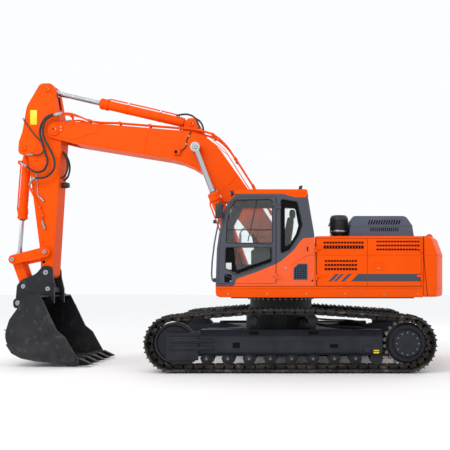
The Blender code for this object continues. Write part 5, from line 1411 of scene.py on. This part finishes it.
for out in (-1, 1):
    stay = block((-4.14, -4.1), sorted((out * 0.235, out * 0.385)), (4.87, 4.895), 0.005)
    leg = block((-4.14, -4.1), sorted((out * 0.235, out * 0.262)), (4.7, 4.89), 0.005)
    pipes += [coated(stay, orange), coated(leg, orange)]


def clamp_at(x, z, slope, y):
    """A pipe saddle with two bolts, leaning with the boom's back."""
    saddle = coated(block((-0.028, 0.028), (-0.062, 0.062), (-0.03, 0.026), 0.008), orange)
    heads = [bolt((0, dy, 0.026), "z", 1, 0.01, 0.008) for dy in (-0.045, 0.045)]
    piece = joined([saddle] + heads)
    piece.data.transform(Matrix.Translation((x, y, z + 0.015)) @ Matrix.Rotation(-slope, 4, "Y"))
    return piece


for i in (1, 2, 3, 5, 7, 8, 9, 10):
    (xa, za), (xb, zb) = BACK[i - 1], BACK[i + 1]
    slope = atan2(zb - za, xb - xa)
    for y in (-0.18, 0.18):
        pipes.append(clamp_at(BACK[i][0], BACK[i][1], slope, y))
for y in (-0.205, -0.155, 0.155, 0.205):
    feed = [(0.175, y, 2.475), (0.26, y * 0.95, 2.36), (0.3, y * 0.9, 2.22)]
    pipes.append(coated(hose(feed, 0.02), rubber))
handed(pipes, "boom_pipes", "boom", "orange_paint")

# %% [markdown]
# Oil reaches the arm's cylinder through a hose that leaves the boom's back and turns into the
# port at the barrel's rear. It is short, so it stays on the boom where it is clamped.

# %% Hose to the arm cylinder
arm_feed = [coated(hose([(-1.62, -0.12, 4.66), (-1.66, -0.1, 4.8), (-1.74, -0.09, 4.93),
                         (-1.86, -0.085, 4.985),
                         (-2.0, -0.08, 4.985), (-2.1, -0.075, 4.965)], 0.019), rubber),
            coated(hose([(-1.58, 0.12, 4.655), (-1.6, 0.11, 4.8), (-1.66, 0.1, 4.9), (-1.74, 0.09, 4.95)],
                        0.019), rubber),
            coated(disc((-1.62, -0.12, 4.655), 0.028, 0.05, "z", 12, 0.004), zinc),
            coated(disc((-1.58, 0.12, 4.65), 0.028, 0.05, "z", 12, 0.004), zinc)]
handed(arm_feed, "arm_cylinder_hoses", "boom", "black_plastic")

# %% [markdown]
# ## Cylinders
# A cylinder's barrel ends in a screwed head with a wiper seal round the rod, and carries a
# feed pipe along its side. Everything is laid out along the line from its pin to its eye: one
# helper places rings and pipes at a distance along that line. The bucket's cylinder gets a
# longer barrel and an inner rod, so that the two stay joined when the bucket is fully curled.

# %% Cylinder heads, seals and pipes
def along(base, eye, y):
    """A point function along a cylinder, its direction and a direction square to it."""
    a, b = Vector((base[0], y, base[1])), Vector((eye[0], y, eye[1]))
    way = (b - a).normalized()
    up = Vector((0, 1, 0)).cross(way).normalized()
    return (lambda distance, rise=0.0, aside=0.0: a + way * distance + up * rise + Vector((0, aside, 0))), way


def ring_on(spot, way, profile, material, steps=24):
    """A turned ring whose axis follows a cylinder."""
    ring = turned(profile, (0, 0, 0), "z", steps)
    ring.data.transform(Matrix.Translation(spot) @ way.to_track_quat("Z", "Y").to_matrix().to_4x4())
    return coated(ring, material)


def cylinder_trim(name, base, eye, y, reach, radius, rod_radius, rise, body, side=0.0):
    """Head collars, bolts, wiper seal and the feed pipe of one cylinder's barrel."""
    spot, way = along(base, eye, y)
    pieces = []
    pieces.append(ring_on(spot(reach - 0.17), way, [(radius, 0.0), (radius * 1.16, 0.004),
                                                    (radius * 1.19, 0.014),
                                                    (radius * 1.19, 0.06), (radius * 1.14, 0.07),
                                                    (radius, 0.07), (radius, 0.0)], orange))
    pieces.append(ring_on(spot(reach - 0.075), way, [(radius, 0.0), (radius * 1.15, 0.0),
                                                     (radius * 1.17, 0.01),
                                                     (radius * 1.17, 0.05), (radius * 1.1, 0.064),
                                                     (rod_radius * 1.25, 0.072), (rod_radius * 1.05, 0.072),
                                                     (rod_radius * 1.05, 0.06), (radius, 0.0)], orange))
    pieces.append(ring_on(spot(reach - 0.004), way, [(rod_radius * 1.02, 0.0), (rod_radius * 1.3, 0.0),
                                                     (rod_radius * 1.26, 0.022), (rod_radius * 1.04, 0.028),
                                                     (rod_radius * 1.02, 0.0)], rubber))
    turn = way.to_track_quat("Z", "Y").to_matrix().to_4x4()
    for k in range(8):
        angle = 2 * pi * k / 8
        head = coated(disc((radius * 0.88 * cos(angle), radius * 0.88 * sin(angle), 0.0), radius * 0.1,
                           0.014, "z", 6),
                      zinc)
        head.data.transform(Matrix.Translation(spot(reach - 0.002)) @ turn)
        pieces.append(head)
    pipe = [spot(0.3, rise * 0.9, side), spot(0.3, rise * 1.28, side), spot(0.36, rise * 1.34, side),
            spot(reach - 0.3, rise * 1.34, side), spot(reach - 0.18, rise * 1.3, side),
            spot(reach - 0.13, rise * 1.05, side)]
    pieces.append(coated(hose(pipe, 0.014), orange))
    for share in (0.35, 0.7):
        pieces.append(ring_on(spot(reach * share), way, [(radius, 0.0), (radius * 1.04, 0.0),
                                                         (radius * 1.04, 0.03),
                                                         (radius, 0.03), (radius, 0.0)], orange))
        foot = spot(reach * share + 0.015, rise * 1.2, side)
        pieces.append(coated(disc(foot, 0.02, 0.05, "y", 8), zinc))
    pieces.append(ring_on(spot(0.22), way, [(radius, 0.0), (radius * 1.08, 0.004), (radius * 1.08, 0.03),
                                            (radius, 0.034), (radius, 0.0)], orange))
    return handed(pieces, name, body, "orange_paint")


def eye_trim(name, eye, y, half, radius, body):
    """Zinc pin ends on both sides of a rod's eye."""
    pieces = []
    for out in (-1, 1):
        pieces += pin_head((eye[0], y + out * half, eye[1]), out, radius)
    return handed(pieces, name, body, "rod_chrome")


BOOM_CYL = ((-0.65, 1.62), (-1.662, 4.257))
ARM_CYL = ((-1.79, 4.8), (-4.645, 5.463))
BUCKET_CYL = ((-5.12, 4.29), (-5.293, 2.065))
for side, out in (("l", -1), ("r", 1)):
    cylinder_trim("boom_cylinder_head_" + side, *BOOM_CYL, out * 0.42, 1.86, 0.1, 0.052, -0.1,
                  "boom_cylinder_" + side + "_tube")
    eye_trim("boom_cylinder_pin_" + side, BOOM_CYL[1], out * 0.42, 0.055, 0.05,
             "boom_cylinder_" + side + "_rod")
cylinder_trim("arm_cylinder_head", *ARM_CYL, 0.0, 1.9, 0.095, 0.05, 0.095, "arm_cylinder_tube")
cylinder_trim("bucket_cylinder_head", *BUCKET_CYL, 0.0, 1.41, 0.085, 0.042, 0.085,
              "bucket_cylinder_tube")
spot, way = along(*BUCKET_CYL, 0.0)
handed([ring_on(spot(1.3), way, [(0.048, 0.0), (0.086, 0.0), (0.086, 0.105), (0.048, 0.105), (0.048, 0.0)],
                orange)],
       "bucket_cylinder_barrel_end", "bucket_cylinder_tube", "orange_paint")
handed([coated(bar(spot(0.835), spot(1.142), 0.041, 20, 0.002), chrome)], "bucket_cylinder_rod_inside",
       "bucket_cylinder_rod", "rod_chrome")

# %% [markdown]
# ## Arm
# The arm carries the seams of its plates, a doubler at its knee, pin heads down its length and
# the hoses that feed the bucket's cylinder. Two hoses loop from the boom's pipes to the arm's,
# and are tied to neither body. The rest is fixed plumbing that rides on the
# arm: hoses end in zinc fittings, and steel pipes lie on the side plate under saddles.

# %% Arm seams and pin heads
ARM_FACE = 0.195
arm_trim = []
for out in (-1, 1):
    y = out * ARM_FACE
    arm_trim.append(bead([(-4.545, 5.5), (-4.445, 5.05), (-4.375, 4.62), (-4.405, 4.1), (-4.47, 3.1),
                          (-4.54, 2.1), (-4.552, 1.86)], y - out * 0.002, 0.006))
    arm_trim.append(bead([(-4.8, 5.52), (-5.045, 5.1), (-5.125, 4.66)], y - out * 0.002, 0.006))
    arm_trim.append(bead([(-5.01, 4.08), (-4.9, 3.22), (-4.775, 2.2), (-4.765, 1.86)], y - out * 0.002,
                         0.006))
    arm_trim.append(bead([(-4.8, 2.42), (-4.57, 2.42)], y + out * 0.001, 0.006))
    arm_trim.append(bead([(-5.02, 4.02), (-4.42, 4.1)], y + out * 0.001, 0.006))
    knee = sheet_metal([(-5.2, 4.2), (-5.0, 4.15), (-4.86, 4.26), (-4.86, 4.42), (-4.98, 4.5),
                        (-5.17, 4.46)], y, y + out * 0.008, "y", 0.003)
    arm_trim.append(coated(knee, orange))
    top = sheet_metal([(-4.78, 5.54), (-4.56, 5.54), (-4.52, 5.3), (-4.62, 5.18), (-4.8, 5.22), (-4.9, 5.36)],
                      y, y + out * 0.008, "y", 0.003)
    arm_trim.append(coated(top, orange))
    arm_trim += pin_head((-4.645, out * 0.22, 5.463), out, 0.058, 0.018, orange)
    arm_trim += pin_head((-5.12, out * 0.215, 4.29), out, 0.052, 0.016, orange)
    arm_trim.append(coated(disc((-4.72, y + out * 0.001, 2.02), 0.03, 0.004, "y", 20), shade_and_print_black))
arm_trim.append(coated(block((-4.99, -4.855), (-0.199, -0.195), (4.755, 5.045), 0.002), plate_yellow))
handed(arm_trim, "arm_welds", "arm", "orange_paint")

# %% Hoses and pipes along the arm
Y_HOSE = -0.3


def fitting(a, b, radius):
    """A zinc hose end: a straight ferrule with a hexagon nut in the middle."""
    a, b = Vector(a), Vector(b)
    tube = bar(a, b, radius, 14, 0.002)
    middle = (a + b) / 2
    step = (b - a).normalized() * 0.018
    nut = bar(middle - step, middle + step, radius * 1.35, 6, 0.001)
    return [coated(tube, zinc), coated(nut, zinc)]


def lie(points, y):
    """Path points (x, z) laid at one height across the machine."""
    return [(x, y, z) for x, z in points]


FIRST = [(-4.44, 4.942), (-4.587, 4.9), (-4.686, 4.805), (-4.745, 4.661), (-4.755, 4.562), (-4.725, 4.424),
         (-4.686, 4.286), (-4.646, 4.148), (-4.607, 4.029), (-4.627, 3.911), (-4.706, 3.812), (-4.824, 3.792),
         (-4.923, 3.832), (-5.022, 3.911)]
SECOND = [(-4.44, 4.907), (-4.55, 4.865), (-4.64, 4.78), (-4.672, 4.66), (-4.676, 4.582), (-4.646, 4.444),
          (-4.567, 4.286), (-4.488, 4.128), (-4.449, 3.99), (-4.459, 3.851), (-4.528, 3.753), (-4.627, 3.684),
          (-4.824, 3.664)]
THIRD = [(-5.091, 4.829), (-5.002, 4.701), (-4.864, 4.523), (-4.745, 4.385), (-4.696, 4.266), (-4.725, 4.187),
         (-4.824, 4.138), (-4.923, 4.148)]
PIPE = [(-4.992, 3.545), (-4.98, 3.48), (-4.943, 3.397), (-4.86, 3.235), (-4.785, 3.081), (-4.748, 3.0),
        (-4.745, 2.83)]

swing = [coated(hose(lie(FIRST, Y_HOSE), 0.021), rubber),
         coated(hose(lie(SECOND, Y_HOSE - 0.05), 0.021), rubber)]
swing_hoses = handed(swing, "swing_hoses", None, "black_plastic")
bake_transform(swing_hoses)

loops = [coated(hose(lie(THIRD, -0.245), 0.013), rubber)]
for start, stop, radius in (
        ((-5.015, Y_HOSE, 3.905), (-5.16, Y_HOSE + 0.04, 3.99), 0.024),
        ((-4.815, Y_HOSE - 0.05, 3.664), (-4.875, Y_HOSE - 0.03, 3.66), 0.024),
        ((-4.875, Y_HOSE - 0.03, 3.66), (-4.992, -0.235, 3.548), 0.02),
        ((-4.915, -0.245, 4.148), (-5.041, -0.225, 4.157), 0.016),
        ((-5.125, -0.225, 4.875), (-5.085, -0.24, 4.822), 0.016),
        ((-4.745, -0.218, 2.835), (-4.686, -0.215, 2.666), 0.022),
        ((-4.804, -0.218, 3.318), (-4.706, -0.215, 3.219), 0.018)):
    loops += fitting(start, stop, radius)
loops.append(coated(hose(lie(PIPE, -0.218), 0.017), orange))
loops.append(coated(hose(lie([(-4.864, 3.772), (-4.845, 3.56), (-4.824, 3.31)], -0.208), 0.008), zinc))
riser = coated(block((-5.2, -5.12), (-0.285, -0.194), (3.955, 4.025), 0.008), orange)
loops.append(riser)
for x, z in ((-4.975, 3.47), (-4.8, 3.11), (-4.746, 2.93)):
    saddle = coated(block((x - 0.035, x + 0.035), (-0.243, -0.194), (z - 0.018, z + 0.018), 0.006), orange)
    loops += [saddle, bolt((x + 0.024, -0.243, z), "y", -1, 0.009, 0.006)]
behind = [(-4.41, -0.06, 4.28), (-4.34, -0.06, 4.16), (-4.295, -0.06, 4.0), (-4.31, -0.06, 3.84),
          (-4.36, -0.07, 3.74), (-4.43, -0.08, 3.7)]
loops.append(coated(hose(behind, 0.019), rubber))
loops.append(coated(hose([(x, 0.06, z - 0.02) for x, _, z in behind], 0.019), rubber))
stub = turned([(0.0, 0.0), (0.055, 0.0), (0.06, 0.02), (0.06, 0.1), (0.05, 0.115), (0.05, 0.135),
               (0.0, 0.135)], (-4.42, 0.0, 3.575), "x", 20)
loops.append(coated(stub, plastic))
handed(loops, "arm_hoses", "arm", "black_plastic")

# %% [markdown]
# ## Bucket linkage and bucket
# Pins here take the digging force, so they are large and their ends show. The bucket itself is
# thick plate: a wear band wraps its bottom, side cutters harden its edges, plates double the
# ears' roots, and the five teeth are forged tips over cast adapters.

# %% Linkage pins and coupler
links = []
for out in (-1, 1):
    for x, z in ((-4.659, 2.214), (-5.293, 2.065)):
        links += pin_head((x, out * 0.317, z), out, 0.042, 0.014)
    rim = sheet_metal([(-4.7, 2.24), (-5.25, 2.115), (-5.25, 2.025), (-4.7, 2.165)], out * 0.292,
                      out * 0.297, "y", 0.002)
    links.append(coated(rim, orange))
handed(links, "rocker_pins", "rocker_links", "orange_paint")

coupler = []
for out in (-1, 1):
    for x, z, y, radius, depth in ((-4.659, 1.808, 0.249, 0.052, 0.016), (-5.105, 1.53, 0.245, 0.045, 0.014),
                                   (-4.6, 1.481, 0.292, 0.048, 0.016), (-5.194, 1.204, 0.292, 0.048, 0.016)):
        coupler += pin_head((x, out * y, z), out, radius, depth)
coupler.append(coated(hose([(-4.7, -0.16, 1.72), (-4.76, -0.17, 1.62), (-4.84, -0.17, 1.56),
                            (-4.92, -0.16, 1.54)],
                           0.012), rubber))
handed(coupler, "coupler_pins", "bucket", "bucket_paint")

# %% Bucket wear parts
HALF = 0.82
bucket = []
for out in (-1, 1):
    y = out * HALF
    cutter = sheet_metal([(-4.45, 1.16), (-4.23, 0.69), (-4.07, 0.56), (-3.86, 0.16), (-3.88, 0.09),
                          (-4.02, 0.09),
                          (-4.14, 0.42), (-4.33, 0.62), (-4.52, 1.05)], y, y + out * 0.022, "y", 0.006)
    bucket.append(coated(cutter, bucket_paint))
    heel = sheet_metal([(-3.95, 0.085), (-4.62, 0.112), (-4.9, 0.165), (-5.08, 0.26), (-5.19, 0.43),
                        (-5.1, 0.47), (-5.01, 0.33), (-4.86, 0.245), (-4.62, 0.2), (-4.02, 0.18)], y,
                       y + out * 0.014, "y", 0.004)
    bucket.append(coated(heel, bucket_paint))
    arcs = [(-5.22, 0.72), (-5.1, 0.6), (-4.95, 0.52), (-4.78, 0.505), (-4.63, 0.54), (-4.46, 0.6)]
    bucket.append(bead(arcs, y + out * 0.001, 0.007, bucket_paint))
    bucket.append(bead([(-4.82, 1.22), (-4.1, 0.1)], y + out * 0.001, 0.006, bucket_paint))
    bucket.append(bead([(-4.36, 0.44), (-4.16, 0.52)], y + out * 0.001, 0.006, bucket_paint))
    for x, z in ((-4.44, 0.98), (-4.29, 0.69), (-4.1, 0.45), (-3.98, 0.22)):
        bucket.append(coated(disc((x, y + out * 0.024, z), 0.022, 0.012, "y", 6, 0.002), bucket_paint))
for i in range(4):
    y = -0.6 + 0.4 * i
    strip = [(-4.0, 0.078), (-4.62, 0.104), (-4.86, 0.135), (-5.03, 0.205), (-5.16, 0.345), (-5.16, 0.4),
             (-5.05, 0.26), (-4.86, 0.165), (-4.62, 0.13), (-4.0, 0.1)]
    bucket.append(coated(sheet_metal(strip, y - 0.045, y + 0.045, "y", 0.003), worn_steel))
for i in range(5):
    y = -HALF + 0.07 + (2 * HALF - 0.14) * i / 4
    adapter = sheet_metal([(-4.1, 0.092), (-3.98, 0.04), (-3.84, 0.03), (-3.8, 0.036), (-3.8, 0.15),
                           (-3.86, 0.172), (-4.02, 0.16)], y - 0.056, y + 0.056, "y", 0.01)
    tip = sheet_metal([(-3.82, 0.026), (-3.66, 0.03), (-3.588, 0.046), (-3.588, 0.06), (-3.66, 0.096),
                       (-3.82, 0.16)], y - 0.05, y + 0.05, "y", 0.009)
    lock = disc((-3.86, y, 0.098), 0.016, 0.124, "y", 10, 0.002)
    bucket += [coated(adapter, bucket_paint), coated(tip, worn_steel), coated(lock, worn_steel)]
lip = sheet_metal([(-4.14, 0.082), (-3.86, 0.07), (-3.846, 0.082), (-3.86, 0.112), (-4.12, 0.13)], -HALF,
                  HALF,
                  "y", 0.004)
bucket.append(coated(lip, bucket_paint))
torque = coated(bar((-4.66, -HALF + 0.02, 1.355), (-4.66, HALF - 0.02, 1.355), 0.03, 16), bucket_paint)
bucket.append(torque)
for out in (-1, 1):
    gusset = sheet_metal([(-4.9, 1.32), (-4.62, 1.37), (-4.52, 1.33), (-4.5, 1.26), (-4.94, 1.24)],
                         out * 0.289,
                         out * 0.305, "y", 0.004)
    bucket.append(coated(gusset, bucket_paint))
handed(bucket, "bucket_wear_parts", "bucket", "bucket_paint")

# %% [markdown]
# ## Rails, deck and under the house
# Last come the small things: non-slip treads on the track frames, the ring of bolts that ties
# the house to its bearing, the travel motor's hoses and the rear view mirror's face.

# %% Small parts under the house and on the rails
BEARING_BOLTS = 36
one = coated(disc((0.655, 0, 1.286), 0.018, 0.022, "z", 6), zinc)
under = [copied(one, Matrix.Rotation(2 * pi * k / BEARING_BOLTS, 4, "Z")) for k in range(BEARING_BOLTS)]
bpy.data.objects.remove(one)
handed(under, "bearing_bolts", "house", "undercarriage_paint")

below = []
for out in (-1, 1):
    for x in (0.35, 0.43):
        below.append(coated(hose([(x, out * 0.45, 0.95), (x + 0.15, out * 0.8, 0.86),
                                  (x + 0.6, out * 1.1, 0.8),
                                  (x + 1.2, out * 1.15, 0.76), (x + 1.5, out * 1.16, 0.66)], 0.018), rubber))
    tread = sheet_metal([(-1.3, out * 1.17), (-0.62, out * 1.17), (-0.62, out * 1.33), (-1.3, out * 1.33)],
                        0.762, 0.77, "z", 0.002)
    below.append(coated(tread, dark_paint))
handed(below, "travel_hoses", "undercarriage", "black_plastic")

rails = [coated(block((-0.974, -0.968), (1.365, 1.545), (2.435, 2.685), 0.002), zinc)]
for x, z in ((-0.95, 1.984), (0.06, 2.443)):
    rails.append(coated(disc((x, 1.35, z + 0.004), 0.045, 0.01, "z", 20, 0.002), cover_paint))
handed(rails, "right_mirror_face", "house", "grey_paint")
